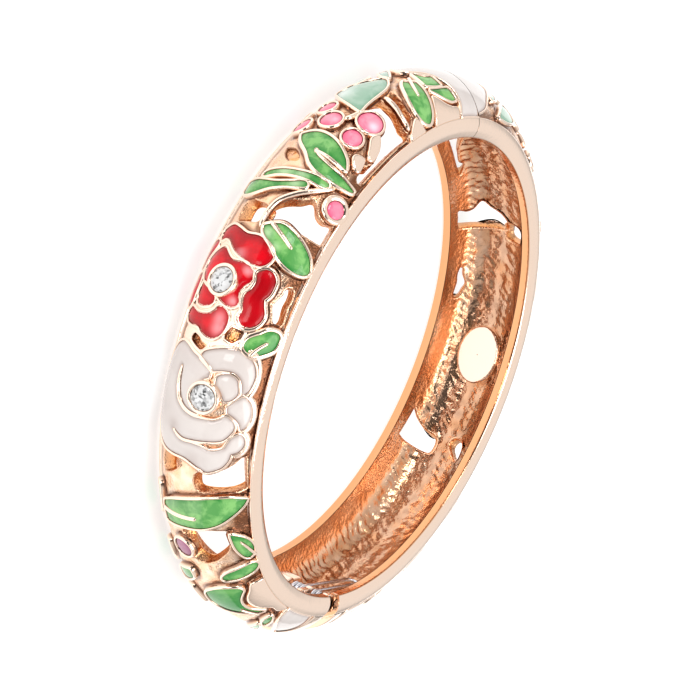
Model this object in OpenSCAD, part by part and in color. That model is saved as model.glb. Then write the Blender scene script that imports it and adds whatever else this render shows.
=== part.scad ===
// Hinged enamel bangle: two pierced cast halves on one hinge pin, lying on its side.
// The ring's axis is +Z, the hinge is at +X, the closing seam at -X, the front half at -Y.
// The back half is the same casting turned over about the line from the hinge to the seam.

/* [Band] */
// inside diameter across the wrist hollow
inner_d = 58; // [54:0.5:64]
// width of the band from rim to rim
band_w = 13.5; // [12:0.5:15]
// width of the flat rim face
rim_t = 1.8; // [1.6:0.1:2]
// rise of the domed outside above the rim
crown_h = 4.7; // [4.4:0.1:4.9]
// metal under the relief
wall_t = 1.35; // [1.1:0.05:1.5]

/* [Relief] */
// height of the relief above the field
relief_h = 0.55; // [0.4:0.05:0.65]
// gold edge around each enamel cell
border_w = 0.45; // [0.35:0.05:0.55]
// width of a raised stem
stem_w = 0.7; // [0.5:0.1:1]
// depth of the blind pits under the field
pit_t = 0.6; // [0.3:0.1:0.8]
// gap around and under the enamel
enamel_gap = 0.03; // [0.02:0.01:0.05]

/* [Stones] */
// diameter of a stone at its girdle
stone_d = 3; // [2.4:0.1:3.2]
// wall of a stone's cup
cup_wall = 0.45; // [0.35:0.05:0.55]
// height of a stone's cup above the relief
cup_h = 0.55; // [0.4:0.05:0.7]

/* [Hinge] */
// distance of the hinge pin from the ring's axis
hinge_x = 30.4; // [30:0.1:31]
// diameter of the hinge pin
pin_d = 1; // [0.8:0.1:1.2]
// diameter of the knuckles
knuckle_d = 2.7; // [2.4:0.1:2.9]
// half of the gap between the halves at the hinge
hinge_gap = 1.15; // [1:0.05:1.4]
// half of the gap between the halves at the seam
seam_gap = 0.06; // [0.05:0.01:0.1]
// diameter of the spring wire
wire_d = 0.5; // [0.4:0.05:0.6]

/* [Hidden] */

inner_r = inner_d / 2;
half_w = band_w / 2;
// the dome's section is an arc through both rims: its radius and its centre's distance from the axis
crown_r = (half_w * half_w + crown_h * crown_h) / (2 * crown_h);
crown_c = inner_r + rim_t + crown_h - crown_r;
base_r = crown_r - relief_h;
bore_r = base_r - wall_t;
// the relief ends here, measured from the crest line, and the rim's lip goes on
lip_w = 7.9;
rim_round = 0.33;
rim_inset = 0.9;
past = 1;
far = 45;
// raised forms and cups reach this far into the metal under them
root = 0.2;
round_fn = 96;
facets = 12;

// Outlines are charted on the dome as rows of [degrees from the hinge, mm from the crest line].

seam_panel = [
    [181.5, 7.7], [172.6, 7.7], [173.9, 6], [174, 4], [172.6, 2], [170.4, 0.6],
    [167.6, -0.6], [166.9, -1.8], [169.5, -3.3], [173, -5], [176, -6.6], [181.5, -7.6]
];
hinge_panel = [
    [19.4, 7.8], [18.6, 6.6], [16.5, 5.5], [13.6, 4.5], [10.8, 3.4],
    [8.8, 2.8], [7.6, 4.4], [7.4, 6.2], [8.4, 7.8]
];
hinge_panel_low = [for (p = hinge_panel) [p[0], -p[1]]];

// The petals overlap where the rose's enamel runs on from one to the next.
rose_1 = [
    [93.1, 3.2], [92.6, 4.6], [91.4, 5.6], [89.6, 6.1], [87.6, 6.1], [86, 5.8], [85.1, 5.2],
    [86.4, 5.1], [88, 4.7], [89, 3.8], [88.9, 2.6], [88.2, 1.3], [88.9, 0.6], [89.8, -0.6], [91, -0.2],
    [92.2, 1.2]
];
rose_2 = [
    [88.3, 3.4], [87.8, 4.2], [86.6, 4.5], [85.4, 4.7], [84.4, 4.5], [83.6, 4], [83.3, 3.4],
    [84.5, 2.9], [85.6, 2.2], [86.4, 2], [87.4, 2.1], [88, 2.7]
];
rose_3 = [
    [84.7, 5.6], [83.6, 6.4], [81.9, 6.8], [80, 6.8], [78.7, 6.4], [78.1, 5.9], [79.4, 5.6],
    [80.5, 4.9], [81.2, 4.1], [82.2, 4], [83.4, 4.6], [84.4, 5.2]
];
rose_4 = [
    [77.1, 5.9], [76.4, 6.4], [75, 6.6], [73.8, 6.3], [73.2, 5.8], [72.9, 5.2], [72.6, 4.8], [73, 4.4],
    [73.8, 4.3], [75, 4.7], [76.2, 5.1]
];
rose_5 = [
    [80.4, 4], [79.9, 4.5], [79.3, 4.9], [78.4, 5.1], [77.3, 4.9], [75.8, 4.2], [75.2, 3.4], [74.9, 2.5],
    [74.6, 1.5], [74.3, 0.3], [74.1, -0.8], [74.5, -1.6], [75.4, -2.4], [76.6, -3.2], [77.8, -2.8],
    [78.2, -1.2], [78.5, 0.3], [78.8, 1.6], [79, 2.7], [79.6, 3.4]
];
rose_6 = [
    [74.2, 4.6], [73.6, 5.1], [72.9, 5.2], [71.5, 5], [70, 4.4], [69, 3.4], [68.6, 2.6], [69.2, 1.6],
    [70, 0.4], [70.3, -0.6], [70.1, -2], [70.1, -3.5], [70.7, -4.7], [71.8, -5.6], [73.8, -6.2],
    [75, -4.5], [74.6, -3], [73.8, -1.9], [73.3, -1.1], [73.3, -0.3], [73.5, 0.6], [73.4, 1.7],
    [73, 2.6], [73.1, 3.3], [73.6, 4]
];
rose_7 = [
    [87.9, 1], [88.6, 0.4], [89.4, -0.7], [90, -1.9], [90.6, -2.9], [90.2, -4], [88.4, -4.2],
    [87.2, -3.6], [87, -2.8], [85.4, -2.7], [83.6, -2.6], [81.6, -2.1], [80.3, -1.3], [79.7, -0.4],
    [79.6, 0.6], [83, 1.4], [85.8, 0.4], [86.8, 1]
];
rose_8 = [
    [90.7, -2.9], [91, -3.9], [90.5, -4.8], [89.6, -5.5], [88, -6.3], [85.5, -6.9], [82.5, -7.1],
    [79.9, -7], [77.5, -6.9], [76.9, -5.6], [77.4, -4.2], [78.5, -3.3], [78.4, -2.4], [78.8, -1.4],
    [79.4, -1.9], [80.6, -2.6], [82.6, -3.2], [85, -3.4], [87.2, -3.3], [88.8, -2.8]
];
rose_9 = [
    [77.2, -2.4], [76.2, -2.1], [75.4, -2.3], [74.8, -2.5], [73.9, -2.8], [72.8, -4], [72.6, -5.4],
    [73.6, -6.2], [75.5, -6.6], [78.4, -6.9], [79, -5.4], [78.2, -3.8]
];

leaf_l = [
    [172.3, 5.6], [170.5, 5.6], [168.6, 5], [166, 3.6], [168.2, 3.8], [170.2, 3.9], [172.2, 4]
];
leaf_m = [
    [170.6, 3.3], [168.6, 3.2], [166.2, 2.8], [166.6, 1.4], [167.2, 0.3],
    [168.4, 1.1], [169.6, 1.6], [170.8, 1.7]
];
leaf_k = [
    [160, 7.2], [158.4, 6.7], [157.8, 5.5], [158.4, 4], [159.6, 2.6], [161, 1.6], [162.4, 1.1],
    [163.2, 1.6], [164.6, 1.9], [164.1, 3.5], [163.1, 5], [161.7, 6.4]
];
leaf_c = [
    [134, 4.7], [135.8, 3.9], [137.4, 2.3], [138.3, 0.6], [138.3, -1.2], [137.2, -2.7],
    [135.4, -1.9], [133.2, -0.2], [131.2, 1.1], [130.3, 2.6], [130.3, 4.6], [131, 6.4],
    [131.7, 7.1], [132, 5.2], [132.4, 2.8], [133.2, 1], [134.5, 0.2], [134.5, 2]
];
blade_1 = [
    [129.4, 3.9], [128.7, 4.3], [128.1, 3.6], [128, 2], [127.6, 0.2], [126.9, -1.8],
    [126.1, -3.4], [126.3, -4], [127.1, -3.6], [127.9, -1.8], [128.6, 0.4], [129.2, 2.3]
];
blade_2 = [
    [127.1, 2], [126.4, 2.2], [125.6, 1.3], [124.8, 0], [123.8, -1.5], [122.7, -2.8],
    [121.9, -4], [121.8, -5.2], [122.6, -6.4], [123.9, -7.1], [125.3, -7.2], [125.2, -6],
    [125.1, -4.6], [124.9, -3], [125, -1.4], [125.9, 0.3], [126.9, 1.4]
];
leaf_d = [
    [111.9, 7.6], [110.9, 6.6], [111, 5], [112, 3.5], [113.6, 2.2], [115, 0.9], [116.2, 0.5],
    [117.2, 1.5], [117.7, 2.5], [117.2, 3.9], [116.2, 5.4], [114.8, 6.7], [113.3, 7.4]
];
leaf_e = [
    [98.5, 6.7], [98.2, 7.4], [97, 7.6], [95.2, 7.3], [93.9, 6.3], [93.1, 5.3],
    [93.4, 4.5], [94.3, 3.9], [95.8, 4.2], [97.2, 5.3], [98.2, 6]
];
leaf_f = [
    [62, 7.5], [60.6, 7], [58.6, 5.7], [56.6, 4], [55.3, 2], [54.5, -0.4], [53.3, -3.2],
    [55.5, -3.6], [57.6, -3.6], [59.6, -1.8], [61.3, 0.6], [62.5, 3.2], [62.8, 5.6]
];
leaf_g = [
    [53.6, 5.4], [52.4, 6.6], [50.8, 7.4], [48.6, 7.8], [46.6, 7.6], [46.2, 7], [47.5, 6.4], [50, 5.8]
];
leaf_h = [
    [43.9, 7.2], [43.4, 5.6], [42.6, 4.2], [41.6, 3.5], [40.6, 3.5],
    [40.4, 4.8], [40.8, 6.4], [41.6, 7.5], [42.9, 7.8]
];
leaf_n = [
    [41.5, -0.9], [39.5, -0.8], [37.5, -1.6], [35.5, -3], [34.5, -4.2], [37, -3.8], [39.6, -2.8]
];
leaf_i = [
    [37.4, 3.6], [37, 4.6], [36, 5], [34.6, 4.6], [32.5, 4.1], [30, 4], [28, 4.4],
    [26.4, 5.2], [25.2, 5.9], [25.8, 4.4], [27.2, 2.9], [28.4, 1.5], [30, 0.4],
    [32, 0], [34.4, 0.2], [36.2, 1.2], [37.3, 2.4]
];
leaf_j = [
    [21.4, 5.8], [20, 5.5], [18.4, 4.8], [17.4, 3.9], [19, 4.1], [20.6, 4.7]
];
leaf_o = [
    [18.6, 3.4], [16.8, 3], [14.4, 2.2], [12, 1.4], [9.5, 0.4], [12.5, 0.4], [15.2, 1.3], [17.2, 2.3]
];
leaf_p = [
    [44, -5.2], [41, -5], [37, -5.6], [33, -7], [37, -7.4], [41.5, -6.8]
];
leaf_q = [
    [60, -5.4], [57, -5], [53, -5.6], [50, -7], [53.5, -7.4], [58, -6.8]
];
leaf_r = [
    [31, -3.2], [28, -2.2], [25.4, -2.6], [23.6, -4.2], [23.2, -6], [26, -5.6], [29, -4.6]
];

mint_1 = [
    [147.4, 1.1], [150, 0.9], [154, 0.8], [157, 0.6], [159.3, -0.1], [160.4, -1.1],
    [158, -2.4], [156, -4], [153.4, -4.7], [151, -3.4], [149.2, -1.9], [148, -0.2]
];
mint_2 = [
    [161.6, -0.8], [164, -1.8], [167, -3.2], [170, -4.8], [167, -4.2], [164, -2.9], [162, -1.8]
];
mint_3 = [
    [157.2, -3.4], [160, -3.4], [163, -4.3], [166, -5.6], [168.5, -7], [164, -6.8],
    [160, -6], [157.5, -4.9]
];

red_1 = [
    [113.9, 0.6], [113.2, 2], [112, 2.9], [110.6, 3], [109.2, 2.4], [108.8, 1.4],
    [109.1, 0.2], [109.7, -1.1], [110.6, -2.1], [111.6, -2.9], [111.9, -3.8],
    [111.4, -4.6], [112.6, -5], [113.9, -4.6], [114.6, -3.6], [114.2, -2.4], [113.6, -1]
];
red_2 = [
    [108.6, 2.9], [108.7, 3.8], [107.6, 4.5], [106.2, 4.6], [104.8, 4.5], [103.6, 4.1],
    [102.3, 4.4], [100.8, 4.8], [99.2, 4.6], [98, 3.9], [97.7, 2.9], [98.8, 2.2],
    [100.2, 2.4], [101.7, 2.1], [103.2, 2], [104.6, 2.5], [106.2, 2.6], [107.6, 2.3]
];
red_3 = [
    [110, -3.2], [109, -2.2], [108.2, -1.2], [108.4, 0.5], [107.6, 1.7], [106, 2],
    [104.4, 1.4], [102.8, 1.2], [101.4, 1.6], [100.3, 1.2], [100.3, 0.1], [100.9, -0.8],
    [102, -2.2], [103.3, -4.4], [105.3, -5.2], [107.4, -5], [109, -4.3]
];
red_4 = [
    [100.4, -1.4], [99.3, -1.6], [98.6, -2.8], [98.9, -3.9], [100.6, -4.4],
    [102.5, -4.4], [102, -3], [101.2, -1.9]
];
red_5 = [
    [99.5, 0.3], [98.6, 1], [97, 1.2], [95.3, 1], [94, 0.4], [93.6, -0.5], [94, -1.5],
    [94.8, -2.3], [94.7, -3.4], [95, -4.6], [96.3, -5.2], [97.5, -4.7], [97.1, -3.2],
    [97.5, -1.6], [98.5, -0.8], [99.5, -0.4]
];
red_6 = [
    [104, -5.6], [102.5, -5.3], [100.2, -5.3], [98.4, -5.3], [97.2, -5.9],
    [98.2, -6.8], [100.5, -7.1], [103, -7], [104, -6.4]
];
red_7 = [
    [110.8, -4.9], [109.4, -5.1], [107.4, -5.8], [105.3, -6], [104.9, -6.6],
    [105.6, -7.1], [107.8, -7.2], [110, -6.9], [111.2, -6]
];

end_cells = [seam_panel, hinge_panel, hinge_panel_low];
rose_cells = [rose_1, rose_2, rose_3, rose_4, rose_5, rose_6, rose_7, rose_8, rose_9];
green_cells = [
    leaf_l, leaf_m, leaf_k, leaf_c, blade_1, blade_2, leaf_d, leaf_e, leaf_f, leaf_g,
    leaf_h, leaf_n, leaf_i, leaf_j, leaf_o, leaf_p, leaf_q, leaf_r
];
mint_cells = [mint_1, mint_2, mint_3];
red_cells = [red_1, red_2, red_3, red_4, red_5, red_6, red_7];
all_cells = concat(end_cells, rose_cells, green_cells, mint_cells, red_cells);

// round berries: [degrees from the hinge, mm from the crest line, radius]
pink_berries = [
    [146.4, 3.1, 1.5], [140.7, 2.9, 1.15], [142.6, -0.9, 1.25], [146.3, -3.1, 1.05],
    [140.3, -4.4, 1.15], [144, -6.2, 1], [126, 6.7, 1.15]
];
lilac_berries = [[48.2, -1, 1.2]];
all_berries = concat(pink_berries, lilac_berries);
// the single berry by the rim has a wider gold ring
ringed_berry = [126.1, 6.6];
ringed_berry_r = 1.85;

// plain gold pads of the relief
pad_1 = [
    [171.6, 8], [172.3, 6.6], [170, 6.2], [168, 5.6], [165.6, 4.3], [164.6, 4.9], [163, 6.6], [161.5, 8]
];
pad_2 = [
    [158, 8], [157.4, 6.4], [156.6, 5.8], [154.8, 6.4], [152.6, 7.4], [152, 8]
];
pad_3 = [
    [37.5, 8], [37.2, 6.2], [35, 5.6], [32.5, 4.9], [30, 4.8], [27.5, 5.4], [25, 6.6], [22, 6.8], [20, 8]
];
drop_1 = [
    [145.8, 4.9], [143.3, 6.2], [140.2, 6.6], [139.3, 5.9], [141.5, 5], [143.8, 4.3]
];
drop_2 = [
    [139, 5.7], [136.8, 6.2], [135.4, 6.1], [135.4, 5.2], [137.3, 4.3], [138.6, 4.6]
];
all_pads = [pad_1, pad_2, pad_3, drop_1, drop_2];
// raised stems, each a line of points
stems = [
    [[129.6, 5.2], [127, 3.6], [124.2, 1.6], [121.6, 0.2], [118.8, -0.2], [115.6, -0.1]],
    [[154.7, 1.4], [154.2, 3.4], [153.6, 5], [153.2, 6.8]],
    [[147.6, 1.3], [145, 0.8], [143.8, 0.2]],
    [[149.5, -3.4], [146.5, -5.2]]
];
// the broad scalloped edge over the rose's upper petals
rose_edge = [
    [94, 4.4], [93.2, 5.6], [91.8, 6.3], [89.6, 6.7], [87.4, 6.7], [85.6, 6.4], [84.9, 6.2],
    [83.8, 6.9], [81.9, 7.3], [80, 7.3], [78.4, 6.9], [77.6, 6.5], [76.6, 7], [75, 7.15],
    [73.6, 6.9], [72.5, 6.2], [72.1, 5.6]
];
// the plain raised block at the hinge end, in degrees from the hinge
end_block = [2, 6.5];

// pierced gaps
gap_1 = [
    [157.5, 2.4], [157.2, 4.6], [156, 5.5], [154.3, 6], [153.8, 5.2], [154.5, 4], [155, 2.4], [156.4, 1.6]
];
gap_2 = [
    [153, 7.2], [150, 7.3], [136.2, 7.3], [135.7, 6.8], [137.5, 6.5], [139, 7], [142, 6.8],
    [144.5, 6.2], [146.5, 5.4], [148.7, 4.7], [149.7, 3.2], [149, 2.1], [151, 1.7],
    [153.6, 2], [154, 3.6], [153.1, 5.2], [152.4, 6.2]
];
gap_3 = [
    [123.3, 7.3], [122.5, 6.2], [123, 5.2], [124.8, 4.2], [123.4, 3.2], [122, 1.8], [120.6, 1],
    [119.4, 0.8], [118.6, 1.6], [118.3, 4], [118.6, 7], [119.4, 7.4], [121.5, 7.4]
];
gap_4 = [
    [120.3, -1.1], [118.4, -0.9], [116.7, -1.3], [116.9, -3.1], [118.2, -3.5], [120.2, -3.3]
];
gap_5 = [
    [107.4, 7.1], [105.8, 7.35], [104, 7.25], [102.5, 7.35], [101, 7.45], [100.1, 7.2],
    [100.5, 6.75], [101.8, 6.45], [102.8, 6.15], [103.6, 6.15], [104.6, 6.35], [105.8, 6.65],
    [107, 6.75]
];
gap_6 = [
    [71.4, 7.15], [66, 7.4], [64.4, 7.5], [63.9, 6.3], [63.8, 4], [64, 2.9], [64.8, 2.6],
    [66.6, 2.6], [67.7, 2.9], [68, 3.4], [68.1, 4.1], [68.7, 5.1], [69.7, 6.1], [70.6, 6.7]
];
gap_7 = [
    [69, -1.9], [67.4, -1.5], [65.2, -2.8], [64.4, -3.8], [66.5, -3.8], [68.4, -3.2]
];
// this one is pierced in the front half only
gap_8 = [
    [53.8, 4.6], [51.5, 4.8], [48.9, 4.7], [47, 3.8], [45.3, 2.4], [46.5, 1.2],
    [49.5, 0.8], [52.6, 0.6], [53.5, 1.8]
];
shared_gaps = [gap_1, gap_2, gap_3, gap_4, gap_5, gap_6, gap_7];

// blind pits
pit_1 = [
    [96.9, 2.3], [96.2, 3.2], [95.2, 2.8], [94.2, 2.3], [94.5, 1.6], [95.8, 1.7]
];
pit_2 = [
    [93.6, -2], [92.8, -0.8], [91.6, -0.6], [90.9, -1.3], [91.5, -2.5], [92.6, -3.1]
];
pit_3 = [
    [133.2, -1.5], [131.5, -0.4], [130.6, -1], [130.8, -2.4], [132.2, -2.6]
];
all_pits = [pit_1, pit_2, pit_3];

// stones: [degrees from the hinge, mm from the crest line]
red_flower_stone = [104.1, -1.1];
rose_stone = [83, 1.1];
all_stones = [red_flower_stone, rose_stone];
stone_r = stone_d / 2;
cup_r = stone_r + 0.05;
girdle_z = crown_r + cup_h - 0.1;
culet_z = crown_r + 0.02;
table_z = crown_r + cup_h + 0.4;
table_share = 0.58;
culet_share = 0.3;

// knuckles: [lower end, upper end] in z, and the spring's turns lie in the two gaps between them
front_knuckles = [[2.7, 4.3], [9.3, 10.1]];
back_knuckles = [[0.95, 2.55], [4.45, 6.95], [11.7, 12.55]];
knuckle_r = knuckle_d / 2;
knuckle_room = knuckle_r + 0.25;
pin_r = pin_d / 2;
pin_bore_r = pin_r + 0.05;
pin_z = [0.95, 12.55];
room_z = [0.8, 12.7];
// outline of a knuckle's web, from the pin: [outward, away from the other half]
web_outline = [
    [0.15 - knuckle_r, 0.6], [0.1 - knuckle_r, 2.6], [1.6, 5], [4, 5], [4, 1.7], [1.1, 0.5]
];
// the webs end this far under the field, and start this far from the ring's axis
web_end = 0.3;
web_start = 0.4;
// the hinge gap widens to this half width at the crest, so that the half can swing out
crest_gap = 2;
wire_r = wire_d / 2;
coil_r = pin_r + 0.55;
lower_coil_z = [7.35, 8.9];
upper_coil_z = [10.5, 11.35];
lower_turns = 2.75;
upper_turns = 1.5;
leg_y = 10.5;
wire_sides = 6;

// the bare oval plate inside the back half
plate_angle = 88.5;
plate_half = [2.9, 3.8];
plate_face_r = 32.6;
plate_back_r = 34.2;
plate_points = 24;

// degrees around the dome's section for a distance along it
function around(w) = w / crown_r * 180 / PI;

// the charted point p, seen straight on from above the point at s0, w0
function flat(p, s0, w0) =
    let (reach = crown_c + crown_r * cos(around(p[1])))
    let (out = reach * cos(p[0] - s0) - crown_c)
    let (up = crown_r * sin(around(p[1])))
    [out * sin(around(w0)) - up * cos(around(w0)), -reach * sin(p[0] - s0)];

function total(v, i = 0) = i == len(v) ? 0 : v[i] + total(v, i + 1);
function mid(p, k) = total([for (q = p) q[k]]) / len(p);
function turn(p) = total([for (i = [0:len(p) - 1]) cross2(p[i], p[(i + 1) % len(p)])]);
function cross2(a, b) = a[0] * b[1] - a[1] * b[0];
function unit(v) = v / norm(v);
function side(v, way) = [v[1], -v[0]] * way;

// an outline moved outward by d, corner by corner
function grown(p, d) =
    let (n = len(p), way = sign(turn(p)))
    [for (i = [0:n - 1])
        let (before = side(unit(p[i] - p[(i + n - 1) % n]), way))
        let (after = side(unit(p[(i + 1) % n] - p[i]), way))
        let (m = before + after)
        p[i] + m * d / max(0.35, m * m / 2)];

// a line of points widened to a strip
function strip(p, w) =
    let (n = len(p))
    let (across = [for (i = [0:n - 1]) side(unit(p[min(i + 1, n - 1)] - p[max(i - 1, 0)]), w / 2)])
    concat([for (i = [0:n - 1]) p[i] + across[i]], [for (i = [n - 1:-1:0]) p[i] - across[i]]);

// puts +Z of its children on the dome's outward normal at s, w
module seat(s, w)
    rotate([0, 0, -s])
        translate([crown_c, 0, half_w])
            rotate([0, 90 - around(w), 0])
                children();

// a prism through the dome with the charted outline, from radius r0 of the section to r1
module plug(p, grow, r0, r1) {
    s0 = mid(p, 0);
    w0 = mid(p, 1);
    seat(s0, w0)
        translate([0, 0, r0])
            linear_extrude(r1 - r0)
                polygon(grown([for (q = p) flat(q, s0, w0)], grow));
}

module stem(p, r0, r1) {
    s0 = mid(p, 0);
    w0 = mid(p, 1);
    seat(s0, w0)
        translate([0, 0, r0])
            linear_extrude(r1 - r0)
                polygon(strip([for (q = p) flat(q, s0, w0)], stem_w));
}

module berry(b, grow, r0, r1)
    seat(b[0], b[1])
        translate([0, 0, r0])
            cylinder(h = r1 - r0, r = b[2] + grow, $fn = round_fn);

// section of the dome between two radii, as far as the rim's lips
module band_section(r0, r1)
    intersection() {
        difference() {
            circle(r1, $fn = round_fn);
            circle(r0, $fn = round_fn);
        }
        polygon([
            [0, 0],
            [far * cos(around(lip_w)), -far * sin(around(lip_w))],
            [2 * far, 0],
            [far * cos(around(lip_w)), far * sin(around(lip_w))]
        ]);
    }

// half a turn of a section, on the front half's side
module half_turn()
    rotate([0, 0, -180])
        rotate_extrude(angle = 180, $fn = 180)
            children();

module layer(r0, r1)
    half_turn()
        translate([crown_c, half_w])
            band_section(r0, r1);

module rim_outline()
    polygon([
        [inner_r + rim_inset, 0], [far, 0], [far, band_w], [inner_r + rim_inset, band_w],
        [inner_r, band_w - rim_round], [inner_r, rim_round]
    ]);

module field_shell()
    half_turn()
        difference() {
            intersection() {
                translate([crown_c, half_w])
                    circle(crown_r, $fn = round_fn);
                rim_outline();
            }
            translate([crown_c, half_w])
                circle(bore_r, $fn = round_fn);
            translate([crown_c, half_w])
                band_section(base_r, crown_r + past);
        }

// the wedge of the plain block at the hinge end
module end_block_wedge()
    linear_extrude(band_w)
        polygon([
            [0, 0],
            [far * cos(end_block[0]), -far * sin(end_block[0])],
            [far * cos(end_block[1]), -far * sin(end_block[1])]
        ]);

// gold relief: borders around the cells, pads, stems and the end block
module relief()
    intersection() {
        layer(base_r - root, crown_r);
        difference() {
            union() {
                for (c = all_cells)
                    plug(c, border_w, bore_r - 2, crown_r + past);
                for (b = all_berries)
                    berry(b, border_w, bore_r, crown_r + past);
                for (p = all_pads)
                    plug(p, 0, bore_r, crown_r + past);
                for (p = concat(stems, [rose_edge]))
                    stem(p, bore_r, crown_r + past);
                berry([ringed_berry[0], ringed_berry[1], ringed_berry_r], 0, bore_r, crown_r + past);
                end_block_wedge();
            }
            for (c = all_cells)
                plug(c, 0, bore_r - 2.5, crown_r + 2 * past);
            for (b = all_berries)
                berry(b, 0, bore_r - past, crown_r + 2 * past);
        }
    }

// a post under each stone, with the stone's cup on top
module stone_cups()
    for (p = all_stones)
        seat(p[0], p[1])
            difference() {
                translate([0, 0, base_r - root])
                    cylinder(h = relief_h + root + cup_h, r = cup_r + cup_wall, $fn = round_fn);
                translate([0, 0, crown_r])
                    cylinder(h = cup_h + past, r = cup_r, $fn = round_fn);
            }

// everything of the front half's side that is past its two end faces
module past_the_ends()
    translate([0, 0, -past])
        linear_extrude(band_w + 2 * past)
            polygon([
                [-far, past], [-far, -seam_gap], [0, -seam_gap], [0, -hinge_gap], [hinge_x, -hinge_gap],
                [inner_r + rim_t + crown_h, -crest_gap], [far, -crest_gap], [far, past]
            ]);

module knuckle_space()
    translate([hinge_x, 0, room_z[0]])
        cylinder(h = room_z[1] - room_z[0], r = knuckle_room, $fn = round_fn);

// one cast half, on the front half's side, without its knuckles
module casting(gaps)
    difference() {
        union() {
            field_shell();
            relief();
            stone_cups();
        }
        for (g = gaps)
            plug(g, 0, bore_r - 2, crown_r + past);
        for (p = all_pits)
            plug(p, 0, base_r - pit_t, crown_r + past);
        past_the_ends();
        knuckle_space();
    }

module turned_over()
    translate([0, 0, band_w])
        rotate([180, 0, 0])
            children();

// knuckles with the webs that join them to the inside of the dome, way is the side: -1 front, 1 back
module knuckles(list, way)
    difference() {
        union() {
            for (z = list)
                translate([hinge_x, 0, z[0]])
                    cylinder(h = z[1] - z[0], r = knuckle_r, $fn = round_fn);
            intersection() {
                rotate([0, 0, way > 0 ? 0 : -90])
                    rotate_extrude(angle = 90, $fn = 180)
                        translate([crown_c, half_w])
                            difference() {
                                circle(base_r - web_end, $fn = round_fn);
                                translate([-far - crown_c, -far])
                                    square([far + web_start, 2 * far]);
                            }
                for (z = list)
                    translate([hinge_x, 0, z[0]])
                        linear_extrude(z[1] - z[0])
                            polygon([for (q = web_outline) [q[0], q[1] * way]]);
            }
        }
        translate([hinge_x, 0, 0])
            cylinder(h = band_w, r = pin_bore_r, $fn = round_fn);
    }

module oval_plate()
    rotate([0, 0, plate_angle])
        translate([plate_face_r, 0, half_w])
            rotate([0, 90, 0])
                linear_extrude(plate_back_r - plate_face_r)
                    polygon([
                        for (i = [0:plate_points - 1])
                            [
                                plate_half[0] * cos(i * 360 / plate_points),
                                plate_half[1] * sin(i * 360 / plate_points)
                            ]
                    ]);

module front_half()
    color("#d9a07c") {
        casting(concat(shared_gaps, [gap_8]));
        knuckles(front_knuckles, -1);
    }

module back_half()
    color("#c98f6b") {
        turned_over()
            casting(shared_gaps);
        knuckles(back_knuckles, 1);
        oval_plate();
    }

module hinge_pin()
    color("#8c8c8c")
        translate([hinge_x, 0, pin_z[0]])
            cylinder(h = pin_z[1] - pin_z[0], r = pin_r, $fn = round_fn);

// The spring's wire: rows of [point, direction away from the pin, direction along the wire].
function coil_row(angle, z, way) = [
    [hinge_x + coil_r * cos(angle), coil_r * sin(angle), z],
    [cos(angle), sin(angle), 0],
    [-way * sin(angle), way * cos(angle), 0]
];
function leg_row(y, z, along) = [[hinge_x - coil_r, y, z], [-1, 0, 0], along];
coil_steps = 10;
lower_count = lower_turns * coil_steps;
upper_count = upper_turns * coil_steps;
bend_r = (upper_coil_z[0] - lower_coil_z[1]) / 2;
bend_z = (upper_coil_z[0] + lower_coil_z[1]) / 2;
spring_rows = concat(
    [for (i = [floor(lower_count):-1:0])
        coil_row(180 + i * 360 / coil_steps,
            lower_coil_z[1] - (lower_coil_z[1] - lower_coil_z[0]) * i / lower_count, -1)],
    [for (a = [-90:30:90])
        leg_row(leg_y + bend_r * cos(a), bend_z + bend_r * sin(a), [0, -sin(a), cos(a)])],
    [for (i = [0:floor(upper_count)])
        coil_row(180 + i * 360 / coil_steps,
            upper_coil_z[0] + (upper_coil_z[1] - upper_coil_z[0]) * i / upper_count, 1)]
);

module hinge_spring()
    color("#b9b9c2") {
        n = len(spring_rows);
        points = [
            for (r = spring_rows, k = [0:wire_sides - 1])
                let (a = k * 360 / wire_sides)
                r[0] + wire_r * (cos(a) * r[1] + sin(a) * cross(r[2], r[1]))
        ];
        sides = [
            for (i = [0:n - 2], k = [0:wire_sides - 1])
                let (next = (k + 1) % wire_sides)
                [i * wire_sides + k, i * wire_sides + next,
                    (i + 1) * wire_sides + next, (i + 1) * wire_sides + k]
        ];
        first_end = [for (k = [wire_sides - 1:-1:0]) k];
        last_end = [for (k = [0:wire_sides - 1]) (n - 1) * wire_sides + k];
        polyhedron(points, concat([first_end], sides, [last_end]));
    }

// enamel filling its cells up to the top of the borders, clear of the stones' cups
module enamel(cells)
    difference() {
        intersection() {
            layer(base_r + enamel_gap, crown_r);
            for (c = cells)
                plug(c, -enamel_gap, bore_r - 2, crown_r + past);
            past_the_ends_kept();
        }
        for (p = all_stones)
            seat(p[0], p[1])
                cylinder(h = crown_r + past, r = cup_r + cup_wall + enamel_gap, $fn = round_fn);
    }

// the front half's side up to the seam, for the panel that runs to its end face
module past_the_ends_kept()
    translate([-far, -far - seam_gap, 0])
        cube([2 * far, far, band_w]);

module berry_enamel(berries)
    intersection() {
        layer(base_r + enamel_gap, crown_r);
        for (b = berries)
            berry(b, -enamel_gap, bore_r, crown_r + past);
    }

// a cut stone: flat table, a facet on each side of the crown and of the pavilion
module stone(p)
    seat(p[0], p[1]) {
        translate([0, 0, girdle_z])
            cylinder(h = table_z - girdle_z, r1 = stone_r, r2 = stone_r * table_share, $fn = facets);
        translate([0, 0, culet_z])
            cylinder(h = girdle_z - culet_z, r1 = stone_r * culet_share, r2 = stone_r, $fn = facets);
    }

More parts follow.
